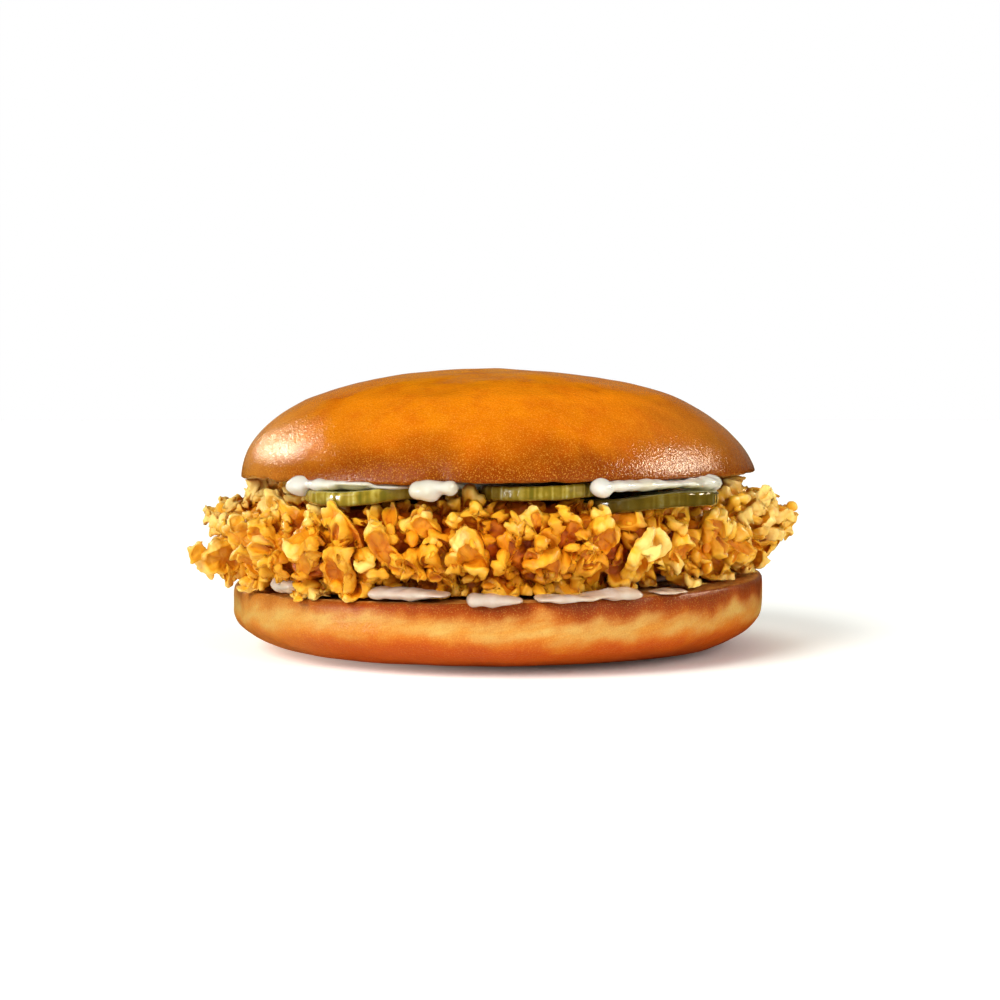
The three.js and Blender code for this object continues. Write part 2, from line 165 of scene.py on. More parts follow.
def along(profile, step):
    """The same outline with a point at least every step of its length."""
    out = [profile[0]]
    for a, b in zip(profile, profile[1:]):
        count = max(1, math.ceil(math.dist(a, b) / step))
        for k in range(1, count + 1):
            out.append((between(a[0], b[0], k / count), between(a[1], b[1], k / count)))
    return out


class Heap:
    """Closed shapes gathered to become one mesh."""

    def __init__(self):
        self.points = []
        self.faces = []
        self.rim = []
        self.tone = []
        self.count = 0

    def add(self, points, faces, rim=0.0, tone=0.0):
        self.points.append(points)
        self.rim.append(np.broadcast_to(rim, len(points)))
        self.tone.append(np.broadcast_to(tone, len(points)))
        offset = self.count
        self.faces.extend(tuple(n + offset for n in face) for face in faces)
        self.count += len(points)

    def mesh(self, name, change):
        return new_mesh(name, change(np.concatenate(self.points)), self.faces)


def new_mesh(name, points, faces):
    mesh = bpy.data.meshes.new(name)
    mesh.from_pydata((points * MM).tolist(), [], faces)
    mesh.update()
    return mesh


def new_object(name, mesh, material):
    piece = bpy.data.objects.new(name, mesh)
    bpy.context.scene.collection.objects.link(piece)
    mesh.materials.clear()
    mesh.materials.append(material)
    mesh.polygons.foreach_set("use_smooth", [True] * len(mesh.polygons))
    return piece


def baked(mesh, *modifiers):
    """A new mesh with the modifiers applied in order, each as (type, settings)."""
    holder = bpy.data.objects.new("holder", mesh)
    bpy.context.scene.collection.objects.link(holder)
    for kind, settings in modifiers:
        modifier = holder.modifiers.new(kind, kind)
        for key, value in settings.items():
            setattr(modifier, key, value)
    graph = bpy.context.evaluated_depsgraph_get()
    result = bpy.data.meshes.new_from_object(holder.evaluated_get(graph))
    bpy.data.objects.remove(holder)
    bpy.data.meshes.remove(mesh)
    return result


def read(mesh, name):
    """The coordinates or normals of a mesh's points, as rows of three."""
    values = np.empty(len(mesh.vertices) * 3)
    mesh.vertices.foreach_get(name, values)
    return values.reshape(-1, 3)


def write_points(mesh, points):
    mesh.vertices.foreach_set("co", (points * MM).ravel())
    mesh.update()


def store(mesh, name, values):
    attribute = mesh.attributes.new(name, "FLOAT", "POINT")
    attribute.data.foreach_set("value", np.asarray(values, np.float32))


def rough(points, scale, seed, depth=1):
    """Fractal noise from about -1 to 1 at each point, with features of this size."""
    shift = Vector((17.3 * seed, -9.1 * seed, 5.7 * seed))
    return np.array(
        [noise.fractal(Vector(p) / scale + shift, 1.0, 2.0, depth) for p in points.tolist()]
    )


def bubbles(points, scale, seed):
    """Rounded cells of about this size with creases between them, from 0 to 1."""
    shift = Vector((3.1 * seed, 5.3 * seed, -7.9 * seed))
    height = np.empty(len(points))
    for i, p in enumerate(points.tolist()):
        near = noise.voronoi(Vector(p) / scale + shift)[0]
        height[i] = near[1] - near[0]
    return 1 - (1 - np.minimum(1, height / 0.55)) ** 2


def crumpled(points, scale, amount, seed):
    """The points pushed about by noise with features of this size."""
    shift = Vector((11.3 * seed, 2.9 * seed, 6.1 * seed))
    push = [noise.noise_vector(Vector(p) / scale + shift)[:] for p in points.tolist()]
    return points + amount * np.array(push)


def heel_top(x):
    return HEEL_HEIGHT + HEEL_SLOPE * x


def crown_foot(x):
    return CROWN_FOOT + CROWN_SLOPE * x


def unround(points, amount):
    """Makes a round form slightly uneven, by this share of its radius."""
    around = np.arctan2(points[:, 1], points[:, 0])
    swell = 1 + amount * (np.sin(2 * around + 0.6) + 0.6 * np.sin(3 * around + 2))
    points[:, :2] *= swell[:, None]


def ring_noise(around, size, height):
    """Noise at each angle of a ring of this size, without a seam."""
    places = [(size * math.cos(a), size * math.sin(a), height) for a in around]
    return np.array([noise.noise(Vector(place)) for place in places])


# Materials


class Paint:
    """Builds one material's nodes. Places are in millimetres."""

    def __init__(self, name):
        self.material = bpy.data.materials.new(name)
        self.material.use_nodes = True
        self.tree = self.material.node_tree
        self.shader = self.tree.nodes["Principled BSDF"]
        source = self.node("ShaderNodeTexCoord").outputs["Object"]
        scale = self.node("ShaderNodeVectorMath", operation="SCALE")
        scale.inputs["Scale"].default_value = 1 / MM
        self.link(source, scale.inputs[0])
        self.place = scale.outputs[0]
        split = self.node("ShaderNodeSeparateXYZ")
        self.link(self.place, split.inputs[0])
        self.x, self.y, self.z = split.outputs

    def node(self, kind, **settings):
        made = self.tree.nodes.new(kind)
        for key, value in settings.items():
            setattr(made, key, value)
        return made

    def link(self, source, target):
        if hasattr(source, "is_output"):
            self.tree.links.new(source, target)
        else:
            target.default_value = source

    def set(self, **values):
        """Gives inputs of the shader, named with _ for each space, a value or a socket."""
        for key, value in values.items():
            self.link(value, self.shader.inputs[key.replace("_", " ")])

    def shifted(self, seed, stretch=(1, 1, 1), place=None):
        """The place, moved by an amount that goes with the seed, and stretched."""
        mapping = self.node("ShaderNodeMapping")
        mapping.inputs["Location"].default_value = (seed * 13.1, seed * 7.7, seed * 3.9)
        mapping.inputs["Scale"].default_value = stretch
        self.link(place or self.place, mapping.inputs["Vector"])
        return mapping.outputs[0]

    def noise(self, size, detail=3.0, roughness=0.5, seed=0.0, distortion=0.0, **placing):
        made = self.node("ShaderNodeTexNoise")
        self.link(self.shifted(seed, **placing), made.inputs["Vector"])
        made.inputs["Scale"].default_value = 1 / size
        made.inputs["Detail"].default_value = detail
        made.inputs["Roughness"].default_value = roughness
        made.inputs["Distortion"].default_value = distortion
        return made.outputs["Fac"]

    def wrapped(self, radius, slant):
        """The place along the rim and up, slanted, for streaks that follow the rim."""
        turn = self.math("ARCTAN2", self.y, self.x)
        arc = self.math("MULTIPLY", turn, radius)
        rise = self.math("ADD", self.z, self.math("MULTIPLY", arc, slant))
        joined = self.node("ShaderNodeCombineXYZ")
        self.link(arc, joined.inputs[0])
        self.link(rise, joined.inputs[2])
        return joined.outputs[0]

    def cells(self, size, seed):
        made = self.node("ShaderNodeTexVoronoi", feature="SMOOTH_F1")
        self.link(self.shifted(seed), made.inputs["Vector"])
        made.inputs["Scale"].default_value = 1 / size
        return made.outputs["Distance"]

    def attribute(self, name):
        return self.node("ShaderNodeAttribute", attribute_name=name).outputs["Fac"]

    def math(self, operation, a, b=0.0):
        made = self.node("ShaderNodeMath", operation=operation)
        self.link(a, made.inputs[0])
        self.link(b, made.inputs[1])
        return made.outputs[0]

    def span(self, value, low, high, to_low=0.0, to_high=1.0, smooth=False):
        made = self.node("ShaderNodeMapRange", clamp=True)
        if smooth:
            made.interpolation_type = "SMOOTHSTEP"
        self.link(value, made.inputs["Value"])
        for key, number in (
            ("From Min", low), ("From Max", high), ("To Min", to_low), ("To Max", to_high),
        ):
            made.inputs[key].default_value = number
        return made.outputs["Result"]

    def ramp(self, value, *stops):
        made = self.node("ShaderNodeValToRGB")
        while len(made.color_ramp.elements) < len(stops):
            made.color_ramp.elements.new(0.5)
        for element, (place, colour) in zip(made.color_ramp.elements, stops):
            element.position = place
            element.color = (*colour, 1)
        self.link(value, made.inputs[0])
        return made.outputs[0]

    def mix(self, share, a, b):
        """Mixes two colours, each a triple or a socket."""
        made = self.node("ShaderNodeMix", data_type="RGBA")
        self.link(share, made.inputs[0])
        for source, index in ((a, 6), (b, 7)):
            self.link((*source, 1) if isinstance(source, tuple) else source, made.inputs[index])
        return made.outputs[2]

    def bump(self, height, distance, strength=1.0, normal=None):
        made = self.node("ShaderNodeBump")
        made.inputs["Strength"].default_value = strength
        made.inputs["Distance"].default_value = distance * MM
        self.link(height, made.inputs["Height"])
        if normal is not None:
            self.link(normal, made.inputs["Normal"])
        return made.outputs[0]


def crust_material():
    paint = Paint("fried_crust")
    patch = paint.span(paint.noise(7, seed=1), 0.3, 0.7, -0.05, 0.2)
    # Painted shade and light: the crust is painted darker in its hollows and in the creases between
    # blisters, as painted shade, and paler on its rims and outstanding lumps, as painted light, on
    # top of its own patchy tone.
    depth = paint.math("MULTIPLY", paint.attribute("stand"), 0.6)
    depth = paint.math("ADD", depth, patch)
    for name, low, high in (("rim", 0.0, 0.3), ("tone", -0.08, 0.14), ("blister", -0.12, 0.06)):
        depth = paint.math("ADD", depth, paint.span(paint.attribute(name), 0, 1, low, high))
    # Painted shade: the middle of the fillet is painted darker than its ends.
    aside = paint.math("ABSOLUTE", paint.x)
    depth = paint.math("ADD", depth, paint.span(aside, 15, 40, -0.12, 0.0))
    body = paint.ramp(
        depth,
        (0.0, (0.42, 0.07, 0.001)),
        (0.2, (0.61, 0.16, 0.002)),
        (0.45, (0.75, 0.28, 0.006)),
        (0.7, (0.88, 0.44, 0.026)),
        (1.0, (0.94, 0.65, 0.18)),
    )
    blush = paint.span(paint.noise(4.5, seed=5), 0.5, 0.68, 0, 0.4)
    body = paint.mix(blush, body, (0.70, 0.22, 0.003))
    paint.set(
        Base_Color=body,
        Roughness=paint.span(paint.noise(1.4, detail=2, seed=3), 0.3, 0.7, 0.3, 0.5),
        Specular_IOR_Level=0.35,
        Subsurface_Weight=0.12,
        Subsurface_Radius=(1.0, 0.45, 0.12),
        Subsurface_Scale=1.4 * MM,
    )
    fine = paint.noise(0.45, roughness=0.6, seed=2)
    normal = paint.bump(paint.cells(0.9, seed=4), 0.2, 0.5)
    paint.set(Normal=paint.bump(fine, 0.12, 0.6, normal))
    return paint.material


def crown_material():
    paint = Paint("bun_crust")
    rise = paint.math("ADD", paint.z, paint.span(paint.noise(11, seed=1), 0.25, 0.75, -2, 2))
    # Painted shade and light: the crown is painted dark towards its foot, where its side turns away
    # from the light, and bright on top, where the light falls.
    body = paint.ramp(
        paint.span(rise, CROWN_FOOT, CROWN_TOP),
        (0.0, (0.16, 0.022, 0.001)),
        (0.2, (0.36, 0.065, 0.001)),
        (0.34, (0.52, 0.11, 0.001)),
        (0.52, (0.62, 0.14, 0.001)),
        (0.8, (0.92, 0.245, 0.001)),
        (1.0, (1.0, 0.34, 0.002)),
    )
    patch = paint.noise(15, detail=4, roughness=0.6, seed=3, distortion=0.8)
    body = paint.mix(paint.span(patch, 0.42, 0.7, 0, 0.6), body, (0.80, 0.25, 0.001))
    # Painted light: the left side, towards the key light, is painted paler and more golden.
    warm = paint.span(paint.x, 20, -45, 0, 0.4, smooth=True)
    body = paint.mix(warm, body, (0.76, 0.23, 0.001))
    red = paint.noise(6, detail=4, roughness=0.6, seed=7)
    body = paint.mix(paint.span(red, 0.48, 0.72, 0, 0.6), body, (0.60, 0.10, 0.001))
    # Painted light: the left end, around its highlight, is painted golden so that the highlight
    # fades through orange.
    gold = paint.span(paint.x, -34, -52, 0, 0.5, smooth=True)
    body = paint.mix(gold, body, (0.90, 0.40, 0.06))
    # Painted shade: the right end, away from the key light, is painted a darker tan, which its
    # highlight fades into.
    brown = paint.span(paint.x, 22, 50, 0, 0.6, smooth=True)
    body = paint.mix(brown, body, (0.50, 0.17, 0.02))
    # Painted shade: a dark band is painted above the rim, where the side turns away from the light,
    # with less of it at the left end, where the highlight falls.
    rim = paint.span(rise, CROWN_FOOT + 11, CROWN_FOOT + 1, 0, 0.9, smooth=True)
    rim = paint.math("MULTIPLY", rim, paint.span(paint.x, -54, -36, 0.3, 1.0))
    body = paint.mix(rim, body, (0.18, 0.028, 0.001))
    grain = paint.noise(0.27, detail=2, seed=9)
    body = paint.mix(paint.span(grain, 0.52, 0.72, 0, 0.4), body, (0.95, 0.42, 0.05))
    body = paint.mix(paint.span(grain, 0.46, 0.30, 0, 0.35), body, (0.44, 0.07, 0.001))
    paint.set(
        Base_Color=body,
        Roughness=paint.span(paint.noise(5, seed=4), 0.3, 0.7, 0.12, 0.18),
        Specular_IOR_Level=0.35,
    )
    wrinkle = paint.noise(2.6, seed=5)
    pores = paint.noise(0.5, detail=2, roughness=0.6, seed=9)
    normal = paint.bump(wrinkle, 0.12, 0.35)
    paint.set(Normal=paint.bump(pores, 0.15, 1.0, normal))
    return paint.material


def heel_material():
    paint = Paint("bun_base_crust")
    wave = paint.noise(9, seed=2, stretch=(1, 1, 0.5))
    rise = paint.math("ADD", paint.z, paint.span(wave, 0.25, 0.75, -2.0, 2.0))
    # Painted shadow: the top of the heel's side, under the overhang of the fillet, is painted dark
    # brown; the pale band lower down is the bun's own colour.
    body = paint.ramp(
        paint.span(rise, 0, HEEL_HEIGHT),
        (0.0, (0.42, 0.05, 0.001)),
        (0.36, (0.50, 0.072, 0.001)),
        (0.50, (0.58, 0.15, 0.005)),
        (0.62, (0.59, 0.20, 0.015)),
        (0.76, (0.46, 0.095, 0.002)),
        (0.88, (0.29, 0.04, 0.001)),
        (1.0, (0.19, 0.024, 0.001)),
    )
    # Painted light: the left side, towards the key light, is painted paler.
    bright = paint.span(paint.x, -25, -55, 0, 0.4, smooth=True)
    body = paint.mix(bright, body, (0.66, 0.32, 0.05))
    slanted = paint.wrapped(HEEL_RADIUS, -0.2)
    streak = paint.noise(2.4, roughness=0.6, seed=6, stretch=(0.22, 1, 0.8), place=slanted)
    band = paint.math(
        "MULTIPLY",
        paint.span(rise, 6.5, 9.5, smooth=True),
        paint.span(rise, 13.8, 10.8, smooth=True),
    )
    pale = paint.math("MULTIPLY", band, paint.span(streak, 0.38, 0.66, 0.15, 0.85))
    body = paint.mix(pale, body, (0.60, 0.375, 0.09))
    grain = paint.noise(0.27, detail=2, seed=8)
    body = paint.mix(paint.span(grain, 0.52, 0.72, 0, 0.25), body, (0.90, 0.45, 0.08))
    body = paint.mix(paint.span(grain, 0.46, 0.30, 0, 0.3), body, (0.45, 0.07, 0.002))
    toasted = paint.noise(1.6, detail=4, roughness=0.7, seed=4)
    cut = paint.ramp(
        toasted,
        (0.3, (0.20, 0.045, 0.006)),
        (0.5, (0.50, 0.18, 0.03)),
        (0.7, (0.82, 0.45, 0.14)),
    )
    body = paint.mix(paint.attribute("cut"), body, cut)
    gloss = paint.span(streak, 0.3, 0.7, 0.3, 0.42)
    paint.set(Base_Color=body, Roughness=gloss, Specular_IOR_Level=0.22)
    normal = paint.bump(paint.noise(2.0, seed=5), 0.3, 0.4)
    paint.set(Normal=paint.bump(paint.noise(0.5, detail=2, seed=9), 0.1, 0.8, normal))
    return paint.material


def pickle_material():
    paint = Paint("pickle")
    skin = paint.attribute("skin")
    stripe = paint.attribute("stripe")
    flesh = paint.ramp(
        paint.noise(3.0, seed=1),
        (0.3, (0.44, 0.38, 0.06)),
        (0.7, (0.68, 0.62, 0.26)),
    )
    rind = paint.ramp(
        paint.math("ADD", stripe, paint.span(paint.noise(2.2, seed=7), 0.4, 0.8, -0.15, 0.4)),
        (0.0, (0.15, 0.12, 0.008)),
        (0.45, (0.30, 0.205, 0.016)),
        (0.8, (0.46, 0.36, 0.065)),
        (1.0, (0.62, 0.58, 0.28)),
    )
    # Painted shade: the lower edge of the rind, which faces down, is painted darker.
    low = paint.span(paint.attribute("level"), 0.45, 0.0, 0, 0.6, smooth=True)
    rind = paint.mix(low, rind, (0.10, 0.08, 0.005))
    # Partly a darker skin and partly painted shade: the right slice, which lies in the crown's
    # shade, is painted much darker.
    rind = paint.mix(paint.attribute("ripe"), rind, (0.065, 0.036, 0.002))
    paint.set(
        Base_Color=paint.mix(skin, flesh, rind),
        Roughness=0.16,
        Subsurface_Weight=0.35,
        Subsurface_Radius=(1.0, 0.9, 0.25),
        Subsurface_Scale=2.5 * MM,
        Coat_Weight=1.0,
        Coat_Roughness=0.06,
    )
    normal = paint.bump(stripe, 0.22, 0.5)
    paint.set(Normal=paint.bump(paint.noise(0.9, seed=3), 0.16, 0.7, normal))
    return paint.material


def sauce_material():
    paint = Paint("mayonnaise")
    tint = paint.noise(5, detail=2, seed=1)
    body = paint.mix(paint.span(tint, 0.35, 0.7), (0.68, 0.66, 0.59), (0.62, 0.57, 0.43))
    through = paint.span(paint.noise(2.2, seed=2), 0.35, 0.65, 0.45, 0.8)
    through = paint.math("MULTIPLY", paint.attribute("thin"), through)
    body = paint.mix(through, body, (0.44, 0.26, 0.18))
    paint.set(
        Base_Color=body,
        Roughness=0.16,
        Subsurface_Weight=0.5,
        Subsurface_Radius=(1.0, 0.8, 0.5),
        Subsurface_Scale=1.5 * MM,
        Coat_Weight=0.35,
        Coat_Roughness=0.12,
        Normal=paint.bump(paint.noise(2.5, detail=2, seed=4), 0.25, 0.35),
    )
    return paint.material


# Fillet


def direction_of(around, up):
    flat = math.sqrt(1 - up * up)
    return np.array([flat * math.cos(around), flat * math.sin(around), up])


def fullness_at(height):
    """The fillet is fuller under its middle than above it."""
    return np.where(np.asarray(height) < 0, FILLET_UNDER_FULLNESS, FILLET_FULLNESS)


def plan_wave(around):
    """The fillet's uneven outline from above, as a share of its half sizes."""
    wave = 0.035 * np.sin(3 * around + 0.9) + 0.03 * np.sin(5 * around + 0.3)
    return 1 + wave + 0.02 * np.sin(8 * around)


def fillet_point(direction, lift=0.0):
    """Points of the fillet without its crags, for places on the unit sphere."""
    direction = np.atleast_2d(direction)
    around = np.arctan2(direction[:, 1], direction[:, 0])
    out = np.hypot(direction[:, 0], direction[:, 1]) ** fullness_at(direction[:, 2])
    up = np.sign(direction[:, 2]) * np.abs(direction[:, 2]) ** FILLET_SHOULDER
    plan = plan_wave(around)
    x = (FILLET_HALF[0] + lift) * out * plan * np.cos(around)
    y = (FILLET_HALF[1] + lift) * out * plan * np.sin(around)
    z = (FILLET_HALF[2] + 0.4 * lift) * up + FILLET_RISE * x
    return np.stack([x, y, z], axis=1) + FILLET_MIDDLE


def front_direction(x, z):
    """The place on the unit sphere whose fillet point is at x on the front, at or near z."""
    height = (z - FILLET_MIDDLE[2] - FILLET_RISE * x) / FILLET_HALF[2]
    aside = abs(x - FILLET_MIDDLE[0]) / FILLET_HALF[0]
    fullness = float(fullness_at(height))
    highest = min(FLANK_LIMIT, math.sqrt(1 - min(0.97, aside / FRONT_SHARE) ** (2 / fullness)))
    up = math.copysign(min(highest, abs(height) ** (1 / FILLET_SHOULDER)), height)
    out = (1 - up * up) ** (fullness / 2)
    share = (x - FILLET_MIDDLE[0]) / (FILLET_HALF[0] * out)
    return direction_of(-math.acos(min(FRONT_SHARE, max(-FRONT_SHARE, share))), up)


# The crags that show at the front, from left to right: middle across and up, length and
# width, how far the end tips to its right and out of the fillet, and the cup of its edges
FRONT_CRAGS = [
    (-57.5, 21.6, 12.5, 10, -80, 66, 0.2),
    (-53.5, 26.6, 10, 6, -70, 45, -0.2),
    (-53, 17.8, 8, 7, 185, 56, 0.3),
    (-52.5, 35, 9, 7, 0, 25, 0.3),
    (-53.5, 33.2, 8.5, 5.5, -20, 48, 0.3),
    (-49.5, 35, 9, 6, 20, 24, -0.3),
    (-49.5, 31, 8, 6.5, 0, 38, 0.45),
    (-48.5, 17.8, 9.5, 7, 180, 62, 0.3),
    (-48.5, 21.4, 10, 7, -20, 34, 0.45),
    (-46, 35.4, 8, 7, -20, 24, -0.3),
    (-45, 26.8, 11.5, 6, -52, 24, 0.3),
    (-41.5, 21.6, 9, 5.5, 12, 32, 0.5),
    (-41, 31.2, 14, 6, -57, 20, -0.3),
    (-36, 17.8, 9, 6, 178, 60, 0.3),
    (-29.5, 21.4, 12.5, 7.5, -6, 22, 0.45),
    (-28.6, 29.8, 13.5, 5, -40, 24, -0.3),
    (-25.5, 17.8, 10, 7, 185, 64, 0.3),
    (-21.5, 26.4, 14, 4.6, -24, 22, -0.3),
    (-17, 22.6, 8, 6, -14, 34, 0.3),
    (-14, 29.8, 8.5, 7, -50, 34, 0.25),
    (-12.5, 17.8, 9, 6, 175, 62, 0.3),
    (-6, 31, 6.5, 8.5, 6, 46, 0.2),
    (-5.5, 24.8, 13, 8.5, -42, 20, 0.3),
    (0.5, 18.4, 9.5, 10, 200, 60, 0.2),
    (7, 31, 8, 6, -10, 34, 0.45),
    (9, 23, 7.5, 9, -14, 42, 0.3),
    (13, 17.8, 9, 6.5, 183, 62, 0.3),
    (13.5, 29.4, 7.5, 6.5, 24, 36, -0.35),
    (20, 28.2, 10, 8.5, 4, 22, 0.2),
    (24.5, 19.4, 10.5, 4.2, 140, 24, 0.1),
    (28, 25, 15, 12, -6, 26, 0.75),
    (36, 24, 11.5, 6, -8, 26, -0.3),
    (36.5, 17.8, 10, 7, 180, 62, 0.3),
    (41, 21.4, 8, 5.4, 8, 30, 0.2),
    (43.5, 29.2, 9, 6.5, 36, 32, -0.2),
    (45, 17.9, 10, 6.5, 170, 62, 0.3),
    (47.5, 33.6, 8, 6, 36, 36, 0.2),
    (49, 24.6, 11, 6, 118, 34, 0.2),
    (51, 18.2, 9, 7, 190, 60, 0.3),
    (52.5, 35.6, 8, 7, -20, 30, 0.3),
    (53.5, 31.4, 12, 5.5, -20, 50, 0.2),
    (55, 29.4, 11, 7, -80, 68, -0.2),
    (53.5, 23.4, 8, 6, -140, 42, 0.2),
    (54.5, 18.4, 7, 7, 175, 50, 0.3),
]


def crag_plans():
    """Every crag that the solid has, as (direction, reach, width, roll, rise, cup)."""
    plans = []
    for x, z, reach, width, roll, rise, cup in FRONT_CRAGS:
        plans.append((front_direction(x, z), reach, width, roll, rise, cup))
    taken = [fillet_point(plan[0])[0] for plan in plans]
    draw = Draws(11)
    for i in range(LOOSE_CRAG_COUNT):
        size = 1 - i / LOOSE_CRAG_COUNT
        around = TURN * ((i * GOLDEN + 0.02 * draw()) % 1)
        direction = direction_of(around, between(-0.6, 0.72, (i * PLASTIC) % 1))
        roll = between(-180, 180, draw())
        rise = between(22, 68, draw())
        width = between(*LOOSE_CRAG_WIDTH, size * between(0.5, 1, draw()))
        reach = between(*LOOSE_CRAG_REACH, size * between(0.4, 1, draw()))
        cup = between(-0.4, 0.45, draw())
        place = fillet_point(direction)[0]
        if all(np.linalg.norm(place - other) > LOOSE_CRAG_SPACING for other in taken):
            plans.append((direction, reach, width, roll, rise, cup))
    return plans


def crag_axes(direction, roll, rise):
    """The long, broad and thin directions of a crag, and the way out of the fillet."""
    around = math.atan2(direction[1], direction[0])
    outward = unit([math.cos(around), math.sin(around), 0.6 * direction[2]])
    sideways = np.array([-math.sin(around), math.cos(around), 0.0])
    upward = unit(np.cross(outward, sideways))
    tilt, lift = math.radians(roll), math.radians(rise)
    flat = math.sin(tilt) * sideways + math.cos(tilt) * upward
    broad = math.cos(tilt) * sideways - math.sin(tilt) * upward
    long = math.cos(lift) * flat + math.sin(lift) * outward
    return long, broad, np.cross(broad, long), outward


# Flakes that stick out at both ends, and smaller ones that show between the crags
FRONT_FLAKES = [
    (-61, 25.0, 4.5, 6.5, -10, 66, 0.3),
    (-60.5, 20.4, 7, 5.5, 160, 64, 0.4),
    (59, 29.6, 10.5, 6, 20, 68, 0.3),
    (59.5, 26.8, 10.5, 6, -10, 72, 0.2),
    (-57.5, 30.8, 7, 5, 0, 45, 0.6),
    (-56.5, 36.0, 4.5, 6, 80, 30, 0.35),
    (-52, 37.2, 4.2, 7, 0, 25, 0.35),
    (-47.5, 36.8, 4.5, 7, -20, 30, -0.4),
    (-43, 36.8, 4.5, 5.5, 30, 25, 0.4),
    (-56, 17.6, 6, 7, 190, 50, 0.3),
    (-49.4, 18.0, 8, 4.4, -50, 38, 0.3),
    (-45.5, 17.6, 5, 5, 185, 50, 0.4),
    (-41.5, 17.2, 5, 4.5, 175, 55, 0.4),
    (-33, 17.4, 5, 5, 180, 55, -0.4),
    (-15.5, 18.2, 5.5, 6, 170, 50, 0.4),
    (-8.5, 17.8, 5.5, 5, 190, 60, 0.3),
    (5.5, 17.6, 5.5, 5.5, 175, 60, 0.3),
    (26, 17.2, 5, 5.5, 180, 60, 0.3),
    (48.5, 18, 5.5, 6, 170, 50, 0.3),
    (-45.5, 35.6, 6, 5, -40, 24, -0.4),
    (-41, 36, 9, 3.4, -55, 25, 0.2),
    (-37.5, 33.6, 6, 3.6, -60, 25, 0.3),
    (-37, 18, 4.6, 4.2, 0, 30, -0.5),
    (-34.5, 24.6, 6, 4.4, 10, 35, 0.4),
    (-33.5, 28.8, 7, 3.4, -50, 30, 0.3),
    (-25, 23.6, 5, 3.6, 20, 50, 0.7),
    (-21.5, 19, 5, 4.4, 190, 35, 0.4),
    (-12.4, 25.8, 8, 3.2, 0, 25, -0.5),
    (-10.8, 33, 4.4, 4.2, 20, 45, 0.3),
    (-10.4, 21, 6, 3.2, -50, 35, 0.3),
    (-8.5, 35.2, 6, 3.4, -30, 35, 0.2),
    (-1.2, 34, 6, 4, -30, 35, 0.4),
    (2.6, 27.2, 8, 5, 10, 30, 0.5),
    (8.7, 26.6, 7.5, 2.8, -40, 35, -0.4),
    (12.5, 19, 5, 4.6, 180, 35, 0.4),
    (16.4, 24.4, 7, 5, 20, 32, 0.5),
    (19.7, 18.8, 5, 4.5, 180, 35, 0.3),
    (26.5, 33.4, 6, 4.5, 0, 30, 0.3),
    (31, 18.4, 5, 5, 190, 35, 0.2),
    (33.6, 31.4, 7, 5, 20, 30, 0.4),
    (37.5, 18.4, 5, 4.4, 170, 35, 0.3),
    (39.4, 33.6, 6, 4.6, -20, 30, 0.3),
    (40.8, 27.2, 5, 7.5, 0, 35, 0.3),
    (51, 28.4, 6, 5, 30, 45, 0.4),
    (57.5, 33.4, 7, 5, 10, 45, 0.2),
    (57, 22.6, 7, 4.5, 120, 55, 0.3),
]


class Flake:
    """A curled plate of crust with a rolled edge of rounded lobes."""

    def __init__(self, middle, axes, reach, width, cup, thickness, chance):
        self.middle = middle
        self.long, self.broad, self.thin = axes
        self.half_reach, self.half_width = reach / 2, width / 2
        self.cup, self.thickness = cup, thickness
        self.curl = between(-0.3, 0.7, chance.rand())
        self.waves = TURN * chance.rand(3)
        count = 3 + int(reach / 2.6)
        self.lobe_turns = TURN * (np.arange(count) + 0.8 * chance.rand(count)) / count
        self.lobe_outs = between(0.5, 0.74, chance.rand(count))
        self.lobe_sizes = between(0.26, 0.42, chance.rand(count))

    def outline(self, angle):
        """How far the plate reaches at an angle: as far as the outermost round lobe."""
        away = angle[:, None] - self.lobe_turns
        within = self.lobe_sizes**2 - (self.lobe_outs * np.sin(away)) ** 2
        reach = self.lobe_outs * np.cos(away) + np.sqrt(np.maximum(0, within))
        reach = np.where(within > 0, reach, 0)
        return (0.7**14 + (reach**14).sum(axis=1)) ** (1 / 14)

    def surface(self, angle, radius, side):
        """Points at an angle round the plate, 0 to 1 of the way to its edge, -1 to 1 through it."""
        edge = self.outline(angle)
        lobe = np.clip((edge - 0.7) / 0.28, 0, 1)
        reach = radius * (1 + radius**3 * (edge - 1))
        u = reach * np.cos(angle)
        v = reach * np.sin(angle)
        across = self.half_width * u * (0.88 + 0.16 * v)
        # It waves more and more towards its edge, which is rolled thicker than its middle
        a, b, c = self.waves
        wave = 0.16 * radius**2 * np.sin(2 * angle + a) + 0.15 * radius**3 * np.sin(3 * angle + b)
        wave += 0.08 * radius**5 * np.sin(5 * angle + c)
        roll = 0.75 + (0.8 + 1.1 * lobe) * np.exp(-(((radius - 0.84) / 0.13) ** 2))
        through = (self.thickness / 2) * side * roll + self.half_width * wave

        turn = 2 * self.cup * u
        sideways = across * np.sinc(turn / math.pi) - through * np.sin(turn)
        lift = across * np.sin(turn / 2) * np.sinc(turn / TURN) + through * np.cos(turn)
        turn = self.curl * (v + 0.4)
        along_it = self.half_reach * (v + 0.4)
        forward = along_it * np.sinc(turn / math.pi) - lift * np.sin(turn) - 0.4 * self.half_reach
        out = along_it * np.sin(turn / 2) * np.sinc(turn / TURN) + lift * np.cos(turn)
        return (
            self.middle
            + np.outer(sideways, self.broad)
            + np.outer(forward, self.long)
            + np.outer(out, self.thin)
        )

    def shell(self, points):
        """The points of a unit sphere moved onto the plate, and how near its edge each is."""
        radius = np.minimum(1, np.hypot(points[:, 0], points[:, 1]))
        side = np.sign(points[:, 2]) * np.abs(points[:, 2]) ** 0.6
        placed = self.surface(np.arctan2(points[:, 1], points[:, 0]), radius, side)
        return placed, np.clip((radius - 0.6) / 0.35, 0, 1)


